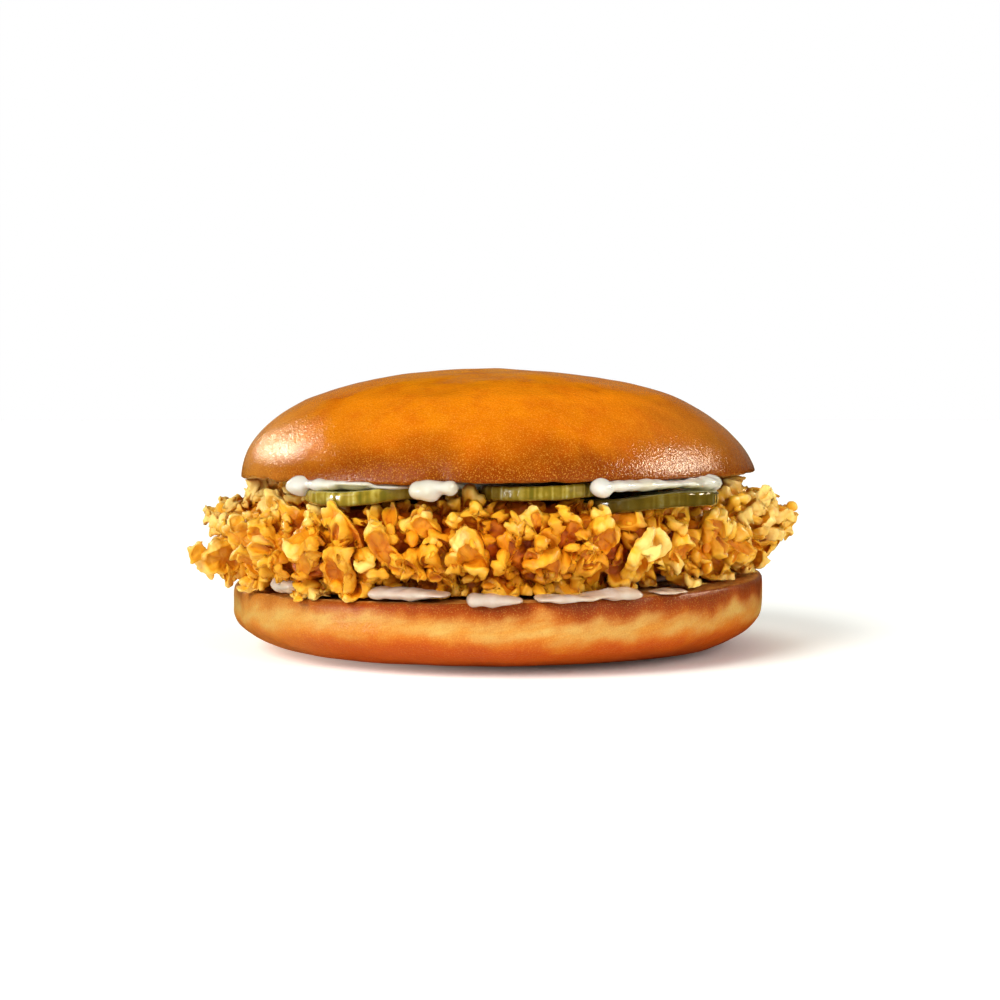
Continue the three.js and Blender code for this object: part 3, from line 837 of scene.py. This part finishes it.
def standing_flake(plan, thickness, chance, height=None):
    """A flake with its root in the fillet. height is that of its middle, where it is given."""
    direction, reach, width, roll, rise, cup = plan
    *axes, outward = crag_axes(direction, roll, rise)
    standing = (reach / 2) * math.sin(math.radians(rise)) - CRAG_ROOT_DEPTH
    middle = fillet_point(direction)[0] + standing * outward
    if height is not None:
        middle[2] = height
    return Flake(middle, axes, reach, width, cup, thickness, chance)


def petals(flake, count, chance):
    """Puffy little flakes that grow out of the edge of a flake, each turned its own way."""
    turns = TURN * (np.arange(count) + 0.8 * chance.rand(count)) / count
    roots = flake.surface(turns, between(0.45, 0.8, chance.rand(count)), np.zeros(count))
    for root in roots:
        long = unit(unit(root - flake.middle) + 0.45 * chance.randn(3))
        thin = flake.thin + 0.5 * chance.randn(3)
        broad = unit(np.cross(long, thin))
        reach = between(3.0, 5.6, chance.rand())
        width = reach * between(0.6, 1.0, chance.rand())
        cup = between(-0.4, 1.0, chance.rand())
        middle = root + 0.25 * reach * long
        axes = (long, broad, np.cross(broad, long))
        yield Flake(middle, axes, reach, width, cup, between(1.5, 2.3, chance.rand()), chance)


def lump_field(points):
    """How far the nearest lump of crust stands out at each point."""
    lumps = np.array(
        [
            fillet_point(direction_of(TURN * i * GOLDEN, between(-0.97, 0.97, (i * PLASTIC) % 1)))[0]
            for i in range(LUMP_COUNT)
        ]
    )
    height = np.empty(len(points))
    for start in range(0, len(points), 4000):
        part = points[start : start + 4000]
        away = np.linalg.norm(part[:, None, :] - lumps[None, :, :], axis=2)
        away.partition(1, axis=1)
        gap = away[:, 1] - away[:, 0]
        height[start : start + 4000] = np.minimum(1, gap / LUMP_SLOPE_WIDTH) - 0.4
    return LUMP_HEIGHT * height


def standing_out(points):
    """How far points stand out of the plain fillet, in millimetres."""
    place = points - FILLET_MIDDLE
    around = np.arctan2(place[:, 1] / FILLET_HALF[1], place[:, 0] / FILLET_HALF[0])
    plan = plan_wave(around)
    flat = np.hypot(place[:, 0] / FILLET_HALF[0], place[:, 1] / FILLET_HALF[1]) / plan
    tall = (place[:, 2] - FILLET_RISE * place[:, 0]) / FILLET_HALF[2]
    power = 2 / fullness_at(tall)
    size = (flat**power + np.abs(tall) ** (2 / FILLET_SHOULDER)) ** (1 / power)
    return (size - 1) * FILLET_MEAN_HALF


def make_fillet(material):
    core, flakes, edges, small, crumbs = Heap(), Heap(), Heap(), Heap(), Heap()
    points, faces = ball(480, 90)
    placed = fillet_point(points)
    height = lump_field(placed)
    core.add(fillet_point(points, 0.75 * height - 0.6), faces, np.clip(height / 6 - 0.2, 0, 1))

    chance = np.random.RandomState(5)
    plans = crag_plans()
    heights = [z for x, z, *rest in FRONT_CRAGS]
    heights += [None] * (len(plans) - len(heights))
    plans += [(front_direction(x, z), *rest) for x, z, *rest in FRONT_FLAKES]
    heights += [z for x, z, *rest in FRONT_FLAKES]
    # Large flakes that show at the front have the most points, and those behind the fewest
    shapes = ball(60, 22), ball(40, 18), ball(28, 14)
    points, faces = ball(22, 10)
    large = []
    for plan, height in zip(plans, heights):
        flake = standing_flake(plan, between(1.6, 2.4, chance.rand()), chance, height)
        large.append(flake)
        shows = flake.middle[1] < -8
        shape = shapes[0 if shows and plan[1] > 8.5 else 1 if shows else 2]
        placed, rim = flake.shell(shape[0])
        tone = chance.rand()
        flakes.add(placed, shape[1], rim, tone)
        for petal in petals(flake, chance.randint(1, 3), chance):
            placed, rim = petal.shell(points)
            edges.add(placed, faces, 0.25 + 0.75 * rim, tone)

    points, faces = ball(20, 10)
    little = []
    for i in range(SMALL_FLAKE_COUNT):
        around = TURN * ((i * GOLDEN + 0.013 * chance.rand()) % 1)
        direction = direction_of(around, between(-0.84, 0.93, (i * PLASTIC + 0.31) % 1))
        reach = between(3.8, 9.0, chance.rand() ** 1.6)
        width = reach * between(0.4, 0.85, chance.rand())
        roll, rise = between(-180, 180, chance.rand()), between(15, 65, chance.rand())
        plan = (direction, reach, width, roll, rise, between(-0.5, 0.9, chance.rand()))
        flake = standing_flake(plan, between(1.4, 2.3, chance.rand()), chance)
        little.append(flake)
        placed, rim = flake.shell(points)
        small.add(placed, faces, rim, chance.rand())

    # Beads of batter along the edges of the flakes and on the lumps between them
    points, faces = ball(10, 7)
    middles = np.array([flake.middle for flake in large])

    def add_crumb(place, size):
        if np.linalg.norm(middles - place, axis=1).min() < CRUMB_CLEARANCE:
            return
        squash = between(0.7, 1.25, chance.rand(3))
        rim, tone = between(0.2, 0.9, chance.rand()), chance.rand()
        crumbs.add(place + points * size * squash, faces, rim, tone)

    for group, most in ((large, 5), (little, 2)):
        for flake in group:
            count = chance.randint(0, most)
            angle, side = TURN * chance.rand(count), chance.rand(count) * 2 - 1
            for place in flake.surface(angle, between(0.85, 1.0, chance.rand(count)), side):
                add_crumb(place, between(0.6, 1.5, chance.rand() ** 1.5))
    while len(crumbs.points) < CRUMB_COUNT:
        direction = direction_of(TURN * chance.rand(), between(-0.9, 0.97, chance.rand()))
        place = fillet_point(direction, between(-1.2, 1.0, chance.rand()))[0]
        add_crumb(place, between(0.6, 1.3, chance.rand() ** 1.5))

    finish_crust("fillet_core", core, (2.6, 0.9), (1.2, 0.35), material)
    finish_crust("fillet_flakes", flakes, (2.1, 0.36), (1.0, 0.1), material)
    finish_crust("fillet_edges", edges, (2.1, 0.32), (0.9, 0.08), material)
    finish_crust("fillet_small_flakes", small, (2.1, 0.3), (0.9, 0.08), material)
    finish_crust("fillet_crumbs", crumbs, (1.5, 0.2), (0.8, 0.08), material)


def finish_crust(name, heap, broad, fine, material):
    """Makes a piece of the heaped shapes, blistered by cells of two (size, height) kinds."""
    mesh = heap.mesh(
        name, lambda p: pressed_between(crumpled(crumpled(p, 4.6, 0.9, 1), 2.0, 0.14, 2))
    )
    points, normals = read(mesh, "co") / MM, read(mesh, "normal")
    blister = bubbles(points, broad[0], 1)
    swell = broad[1] * (blister - 0.6) + fine[1] * (bubbles(points, fine[0], 2) - 0.6)
    swell = swell * np.clip((standing_out(points) + 7) / 4, 0, 1)
    write_points(mesh, points + normals * swell[:, None])
    store(mesh, "rim", np.concatenate(heap.rim))
    store(mesh, "tone", np.concatenate(heap.tone))
    store(mesh, "blister", blister)
    # How far the crust stands out, which the crust paint turns into painted shade in its hollows and
    # painted light on its lumps.
    store(mesh, "stand", np.clip((standing_out(points) + 1.5) / 7.5, 0, 1))
    piece = new_object(name, mesh, material)
    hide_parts("fried_chicken")
    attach(piece, "root")


def pressed_between(points):
    """Keeps the crags between the bun halves and under the pickles, and tucks in the right end."""
    points = points.copy()
    x, y = points[:, 0], points[:, 1]
    reach = np.hypot(x, y)
    under = np.where(reach < CROWN_RADIUS - 1.5, crown_foot(x) - 0.4, np.inf)
    for slice_ in PICKLES:
        away = np.hypot(x - slice_["x"], y - slice_["y"])
        lie = PICKLE_LIES[slice_["name"]](x - slice_["x"], y - slice_["y"])
        bottom = lie - PICKLE_THICKNESS / 2 - 0.1
        under = np.where(away < slice_["radius"] + 0.4, np.minimum(under, bottom), under)
    over = np.where(reach < HEEL_RADIUS - 0.6, heel_top(x) + 0.5, -np.inf)
    points[:, 2] = np.maximum(np.minimum(points[:, 2], under), over)
    lowest = heel_top(x) - CRUST_OVERHANG
    above = points[:, 2] - lowest
    points[:, 2] = lowest + np.where(above < 2, 2 * np.exp(above / 2 - 1), above)
    slant = RIGHT_END_SLANT * np.maximum(0, points[:, 2] - RIGHT_END_FOOT)
    points[:, 0] -= RIGHT_END_TUCK * np.maximum(0, x - RIGHT_END_LIMIT - slant)
    return points


# Bun


def make_crown(material):
    rise = CROWN_TOP - CROWN_FOOT
    profile = [(0, 0), (CROWN_RADIUS - 1.3, 0), (CROWN_RADIUS - 0.5, 0.1), (CROWN_RADIUS, CROWN_LIP)]
    steps = 60
    for i in range(1, steps + 1):
        angle = (i / steps) * (math.pi / 2)
        fullness = between(CROWN_RIM_FULLNESS, CROWN_TOP_FULLNESS, min(1, 2 * i / steps))
        out = math.cos(angle) ** (2 / fullness)
        up = math.sin(angle) ** (2 / fullness)
        height = CROWN_LIP + (rise - CROWN_LIP) * up
        profile.append((0 if i == steps else CROWN_RADIUS * out, height))
    points, faces = lathe(along(profile, 1.2), 260)
    around = np.arctan2(points[:, 1], points[:, 0])
    unround(points, 0.003)
    flat = np.hypot(points[:, 0], points[:, 1])
    near_rim = np.exp(-((points[:, 2] / 3.0) ** 2)) * np.clip((flat - 45) / 10, 0, 1)
    ripple = ring_noise(around, 3.2, 1.7)
    fray = ring_noise(around, 14, 5.1)
    points[:, 2] += near_rim * (0.7 * ripple + 0.45 * fray - 0.3)
    pinch = np.exp(-(((np.degrees(around) - CROWN_PINCH_AT) / 1.5) ** 2))
    points[:, :2] *= (1 - CROWN_PINCH * near_rim * pinch)[:, None]
    points[:, 0] += CROWN_APEX_SHIFT * np.maximum(0, points[:, 2]) / rise
    points[:, 2] += crown_foot(points[:, 0])
    mesh = new_mesh("crown", points, faces)
    normals = read(mesh, "normal")
    swell = 0.5 * rough(points, 16, 1) + 0.12 * rough(points, 5, 2)
    points = points + normals * (swell * np.clip((points[:, 2] - CROWN_FOOT) / 6, 0, 1))[:, None]
    write_points(mesh, points)
    piece = new_object("crown_crust", mesh, material)
    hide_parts("bun_top")
    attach(piece, "root")


def make_heel(material):
    profile = [(0, 0), (HEEL_FLAT_RADIUS, 0)]
    steps = 36
    for i in range(1, steps + 1):
        angle = (i / steps) * (math.pi / 2)
        out = (HEEL_RADIUS - HEEL_FLAT_RADIUS) * math.sin(angle)
        profile.append((HEEL_FLAT_RADIUS + out, HEEL_WAIST * (1 - math.cos(angle))))
    profile += [(HEEL_RADIUS - 0.1, 14.0), (HEEL_RADIUS - 0.25, 14.9), (HEEL_RADIUS - 0.6, 15.4)]
    profile += [(HEEL_RADIUS - 1.2, HEEL_HEIGHT), (0, HEEL_HEIGHT)]
    points, faces = lathe(along(profile, 1.2), 260)
    # The foot is stretched along X and drawn in along Y, most at its middle
    low = np.maximum(0, 1 - np.hypot(points[:, 0], points[:, 1]) / HEEL_RADIUS) ** 2
    points[:, 0] *= 1 + HEEL_FOOT_WIDER * low
    points[:, 1] *= np.maximum(HEEL_FOOT_LEAST, 1 - HEEL_FOOT_SHORTER * low)
    unround(points, 0.004)
    share = np.maximum(0, points[:, 2] / HEEL_HEIGHT)
    points[:, 2] += HEEL_SLOPE * points[:, 0] * share
    mesh = new_mesh("heel", points, faces)
    normals = read(mesh, "normal")
    flat = np.hypot(points[:, 0], points[:, 1])
    swell = 0.35 * rough(points, 12, 4) + 0.12 * rough(points, 4, 6)
    swell *= np.clip(points[:, 2] / 2, 0, 1)
    top = (normals[:, 2] > 0.8) & (flat < HEEL_RADIUS - 1.2)
    crumb = rough(points, 2.0, 8, 3)
    swell = np.where(top, -0.25 + 0.3 * crumb, swell)
    write_points(mesh, points + normals * swell[:, None])
    store(mesh, "cut", np.clip((normals[:, 2] - 0.75) / 0.2, 0, 1))
    piece = new_object("heel_crust", mesh, material)
    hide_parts("bun_bottom")
    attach(piece, "root")


# Pickle slices

# The last value of each slice is how much darker it is painted, partly for a darker skin and partly
# as painted shade.
PICKLES = [
    dict(name="pickle_left", x=-25.8, y=-37.0, radius=14.3, phase=0.4, ripe=0.0),
    dict(name="pickle_middle", x=8.6, y=-41.0, radius=13.6, phase=1.9, ripe=0.1),
    dict(name="pickle_right", x=30.0, y=-36.5, radius=15.0, phase=3.1, ripe=0.8),
]

# The height of the middle of each slice, at places measured from its centre
PICKLE_LIES = {
    "pickle_left": lambda x, y: 36.15 - 0.75 * np.cos(0.17 * (x + 7)) + 0.01 * y,
    "pickle_middle": lambda x, y: 36.6 + 0.002 * np.maximum(0, x + 6) ** 2 + 0.01 * x,
    "pickle_right": lambda x, y: 34.55 + 0.35 * np.sin(0.22 * x + 0.3) + 0.05 * x,
}


def make_pickle(plan, material):
    half = PICKLE_THICKNESS / 2
    radius = plan["radius"]
    inner = radius - PICKLE_EDGE
    side = half - PICKLE_EDGE
    angles = [(i / 6) * (math.pi / 2) for i in range(1, 6)]
    corner = [(PICKLE_EDGE * math.sin(a), PICKLE_EDGE * math.cos(a)) for a in angles]
    profile = [(0, -half), (inner, -half)]
    profile += [(inner + out, -side - up) for out, up in corner]
    profile += [(radius, -side), (radius, side)]
    profile += [(inner + out, side + up) for up, out in corner]
    profile += [(inner, half), (0, half)]
    points, faces = lathe(along(profile, 0.7), 200)
    around = np.arctan2(points[:, 1], points[:, 0])
    flat = np.hypot(points[:, 0], points[:, 1])
    phase = plan["phase"]
    swell = 1 + 0.025 * np.sin(3 * around + phase) + 0.02 * np.sin(2 * around - phase)
    ribs = ring_noise(around, 9, 3 * phase)
    stripe = ring_noise(around, 26, phase)
    level = 0.5 + points[:, 2] / PICKLE_THICKNESS
    at_rim = np.clip((flat / radius - 0.9) / 0.08, 0, 1)
    swell = swell + at_rim * (0.010 * ribs + 0.003 * stripe)
    points[:, :2] *= swell[:, None]
    lie = PICKLE_LIES[plan["name"]](points[:, 0], points[:, 1])
    points[:, 2] += 0.12 * rough(points, 3.5, phase) + lie
    points[:, 0] += plan["x"]
    points[:, 1] += plan["y"]
    mesh = new_mesh(plan["name"] + "_slice", points, faces)
    store(mesh, "skin", np.clip((flat / radius - 0.93) / 0.04, 0, 1))
    store(mesh, "stripe", np.clip(0.5 + 0.6 * stripe + 0.4 * ribs, 0, 1))
    store(mesh, "ripe", np.full(len(points), plan["ripe"]))
    store(mesh, "level", level)
    piece = new_object(plan["name"] + "_slice", mesh, material)
    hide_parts(plan["name"])
    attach(piece, "root")


# Mayonnaise

# Each streak: the angles round the bun where it starts and ends, radius, height of its
# middle, depth, and its own height at the start, halfway and at the end
LOWER_STREAKS = [
    (221.6, 226.0, 58.3, 17.4, 7, 3.4, 3.8, 2.6),
    (245.5, 259.0, 56.2, 16.9, 9, 2.6, 2.6, 1.0),
    (265.5, 273.5, 57.6, 16.0, 8, 2.6, 2.6, 1.2),
    (278.5, 288.5, 57.4, 16.2, 8, 1.4, 2.0, 0.9),
    (288.5, 297.5, 57.2, 16.6, 8, 0.9, 2.4, 2.6),
    (304.5, 309.5, 56.8, 16.5, 7, 1.0, 1.4, 1.0),
    (12, 28, 53.5, 17.7, 10, 1.6, 2.2, 1.6),
    (64, 80, 54.5, 17.1, 10, 1.6, 2.4, 1.6),
    (112, 124, 54, 16.7, 10, 1.6, 2.4, 1.6),
    (158, 168, 53, 16.3, 10, 1.6, 2.2, 1.6),
]

UPPER_STREAKS = [
    (224.6, 226.6, 57.2, 37.6, 6, 3.6, 4.4, 3.4),
    (229.0, 234.5, 56.2, 38.0, 6, 2.0, 2.8, 2.0),
    (234.5, 243.0, 55.0, 38.4, 7, 1.4, 1.3, 1.0),
    (234.0, 249.0, 53.2, 37.8, 7, 2.2, 1.9, 1.2),
    (254.0, 256.6, 56.4, 37.3, 7, 3.8, 4.6, 4.0),
    (256.6, 260.6, 56.4, 37.9, 7, 3.0, 3.0, 3.0),
    (290.2, 291.6, 57.3, 37.7, 6, 3.2, 4.0, 3.2),
    (291.6, 310.0, 56.6, 38.1, 7, 2.0, 2.4, 1.2),
    (312.0, 319.5, 56.8, 38.0, 7, 1.8, 2.8, 3.8),
    (12, 24, 53.5, 38.2, 10, 1.6, 2.4, 1.6),
    (58, 74, 54, 38.1, 10, 1.6, 2.6, 1.6),
    (118, 130, 54, 37.6, 10, 1.8, 3.0, 1.8),
    (166, 174, 53.5, 37.4, 9, 1.6, 2.6, 1.6),
]
STREAK_STEP = 0.9


def spread(low, high, middle, swing, seed):
    """A thin layer of sauce whose outline wanders."""
    profile = [(0, 0), (0.97, 0), (0.99, 0.2), (1, 0.5), (0.99, 0.8), (0.97, 1), (0, 1)]
    points, faces = lathe(along(profile, 0.08), 200)
    around = np.arctan2(points[:, 1], points[:, 0])
    reach = middle + 0.6 * swing * (np.sin(3 * around + seed) + 0.7 * np.sin(5 * around + 2 * seed))
    points[:, :2] *= reach[:, None]
    points[:, 2] = between(low(points[:, 0]), high(points[:, 0]), points[:, 2])
    return points, faces


def streak_blobs(start, end, radius, height, deep, *talls):
    """The blobs that make up a streak, as (turn, radius, height, size)."""
    count = max(1, math.ceil((end - start) / STREAK_STEP))
    for k in range(count + 1):
        share = k / count
        tall = np.interp(share, (0, 0.5, 1), talls)
        tall *= 1 + 0.12 * math.sin(1.7 * k + start)
        out = radius + 0.3 * math.sin(0.9 * k + 2 * start)
        across = max(tall, 3.2)
        yield math.radians(between(start, end, share)), out, height, (deep, across, tall)


def make_sauce(node, layer, streaks, change, thin, material):
    """Fuses a layer with its streaks. thin is how much of the bread shows through."""
    name = node + "_layer"
    heap = Heap()
    heap.add(*layer)
    points, faces = ball(24, 14)
    for streak in streaks:
        for turn, radius, height, size in streak_blobs(*streak):
            shape = points * np.array(size) / 2
            shape[:, 0] += radius
            placed = np.stack(
                [
                    shape[:, 0] * math.cos(turn) - shape[:, 1] * math.sin(turn),
                    shape[:, 0] * math.sin(turn) + shape[:, 1] * math.cos(turn),
                    shape[:, 2] + height,
                ],
                axis=1,
            )
            heap.add(placed, faces)
    mesh = heap.mesh(name, change)
    mesh = baked(
        mesh,
        ("REMESH", {"mode": "VOXEL", "voxel_size": 0.4 * MM}),
        ("SMOOTH", {"factor": 0.5, "iterations": 10}),
        ("DECIMATE", {"ratio": 0.3}),
    )
    points, normals = read(mesh, "co") / MM, read(mesh, "normal")
    write_points(mesh, points + normals * (0.3 * rough(points, 4, 6))[:, None])
    store(mesh, "thin", np.full(len(points), thin))
    piece = new_object(name, mesh, material)
    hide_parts(node)
    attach(piece, "root")


def above_heel(points):
    flat = np.hypot(points[:, 0], points[:, 1])
    floor = np.where(flat < HEEL_RADIUS - 1, heel_top(points[:, 0]) + 0.05, -np.inf)
    return np.column_stack([points[:, :2], np.maximum(points[:, 2], floor)])


def under_crown(points):
    flat = np.hypot(points[:, 0], points[:, 1])
    roof = np.where(flat < CROWN_RADIUS - 1, crown_foot(points[:, 0]) - 0.05, np.inf)
    return np.column_stack([points[:, :2], np.minimum(points[:, 2], roof)])


make_fillet(crust_material())
make_crown(crown_material())
make_heel(heel_material())
pickle = pickle_material()
for plan in PICKLES:
    make_pickle(plan, pickle)
sauce = sauce_material()
lower_layer = spread(
    lambda x: heel_top(x) + 0.1,
    lambda x: heel_top(x) + GAP + SAUCE_THICKNESS,
    middle=46,
    swing=2,
    seed=0.7,
)
upper_layer = spread(
    lambda x: crown_foot(x) - GAP - SAUCE_THICKNESS,
    lambda x: crown_foot(x) - 0.1,
    middle=46,
    swing=1.8,
    seed=2.2,
)
make_sauce("sauce_lower", lower_layer, LOWER_STREAKS, above_heel, 0.75, sauce)
make_sauce("sauce_upper", upper_layer, UPPER_STREAKS, under_crown, 0.0, sauce)


# Floor, lights and camera

# The floor glows, as painted light, so that it reads white; the glow is painted weaker under the
# burger, as a painted shadow, so the floor is darkest there and whitens from the inner to the outer
# radius
SHADE_MIDDLE = 14
SHADE_INNER = 33
SHADE_OUTER = 63

CAMERA_PLACE = (0.45, -420, 54)
CAMERA_DIP = 2.91


def light(name, place, target, size, power, colour=(1, 1, 1)):
    lamp = bpy.data.lights.new(name, "AREA")
    lamp.shape = "RECTANGLE"
    lamp.size, lamp.size_y = size
    lamp.energy = power
    lamp.color = colour
    holder = bpy.data.objects.new(name, lamp)
    bpy.context.scene.collection.objects.link(holder)
    holder.location = place
    way = Vector(target) - Vector(place)
    holder.rotation_euler = way.to_track_quat("-Z", "Y").to_euler()
    return holder


ground = bpy.data.meshes.new("floor")
ground.from_pydata([(-3, -3, 0), (3, -3, 0), (3, 6, 0), (-3, 6, 0)], [], [(0, 1, 2, 3)])
floor_paint = Paint("floor")
floor_paint.set(
    Base_Color=floor_paint.ramp(
        floor_paint.noise(400, detail=2), (0.3, (0.91, 0.94, 0.91)), (0.7, (0.92, 0.95, 0.92))
    ),
    Roughness=0.9,
    Specular_IOR_Level=0.0,
    Emission_Color=(1, 0.97, 0.88, 1),
)
# Painted shadow: the glow is weakest near a middle to the right of the burger and fades in outwards;
# its warm colour tints the painted shadow.
across = floor_paint.math("ADD", floor_paint.x, -SHADE_MIDDLE)
away = floor_paint.math(
    "ADD", floor_paint.math("POWER", across, 2), floor_paint.math("POWER", floor_paint.y, 2)
)
floor_paint.set(
    Emission_Strength=floor_paint.span(
        away, SHADE_INNER**2, SHADE_OUTER**2, 0.02, 0.4, smooth=True
    )
)
floor = new_object("floor", ground, floor_paint.material)
floor.location.z = -0.00005
floor.visible_glossy = False

dome_points, dome_faces = ball(48, 24)
dome_mesh = bpy.data.meshes.new("backdrop")
dome_mesh.from_pydata((dome_points * 8).tolist(), [], dome_faces)
dome_paint = Paint("backdrop")
dome_paint.set(Base_Color=(0, 0, 0, 1), Emission_Color=(1, 1, 1, 1), Emission_Strength=1.0)
dome = new_object("backdrop", dome_mesh, dome_paint.material)
dome.visible_diffuse = False
dome.visible_glossy = False
dome.visible_transmission = False
dome.visible_shadow = False

sun = bpy.data.lights.new("key", "SUN")
sun.energy = 2.6
sun.angle = math.radians(32)
key = bpy.data.objects.new("key", sun)
scene = bpy.context.scene
scene.collection.objects.link(key)
key.rotation_euler = Vector((0.68, 0.7, -0.72)).to_track_quat("-Z", "Y").to_euler()
key.visible_glossy = False
left = light("left", (-0.51, 0.42, 0.35), (-0.03, 0, 0.045), (0.065, 0.09), 2.1, (1, 0.86, 0.64))
right = light("right", (0.57, 0.02, 0.36), (0.03, 0, 0.045), (0.2, 0.14), 4.4, (1, 0.84, 0.62))
back = light("back", (0, 1.2, 0.2), (0, 0, 0.06), (1.6, 0.25), 0.35, (1, 0.8, 0.6))
back.visible_camera = False
side = light("side", (-0.7, -0.38, 0.07), (-0.02, -0.04, 0.036), (0.16, 0.12), 2.0)
for lamp in (left, right, back, side):
    lamp.visible_diffuse = False
light("front", (-0.5, -0.6, 0.4), (0, -0.03, 0.03), (0.16, 0.16), 0.5)
fill = light("fill", (0.6, -0.8, 0.4), (0.03, 0, 0.03), (0.5, 0.5), 5.5)
fill.visible_glossy = False

world = bpy.data.worlds.new("studio")
world.use_nodes = True
sky = world.node_tree.nodes["Background"]
sky.inputs["Color"].default_value = (1, 1, 1, 1)
sky.inputs["Strength"].default_value = 0.25
scene.world = world
world.cycles_visibility.glossy = False
scene.view_settings.view_transform = "Standard"
scene.view_settings.look = "None"

camera_data = bpy.data.cameras.new("camera")
camera_data.lens = 67.2
camera_data.sensor_width = 36
camera_data.clip_start = 0.01
camera = bpy.data.objects.new("camera", camera_data)
scene.collection.objects.link(camera)
camera.location = [number * MM for number in CAMERA_PLACE]
camera.rotation_euler = (math.radians(90 - CAMERA_DIP), 0, 0)
scene.camera = camera
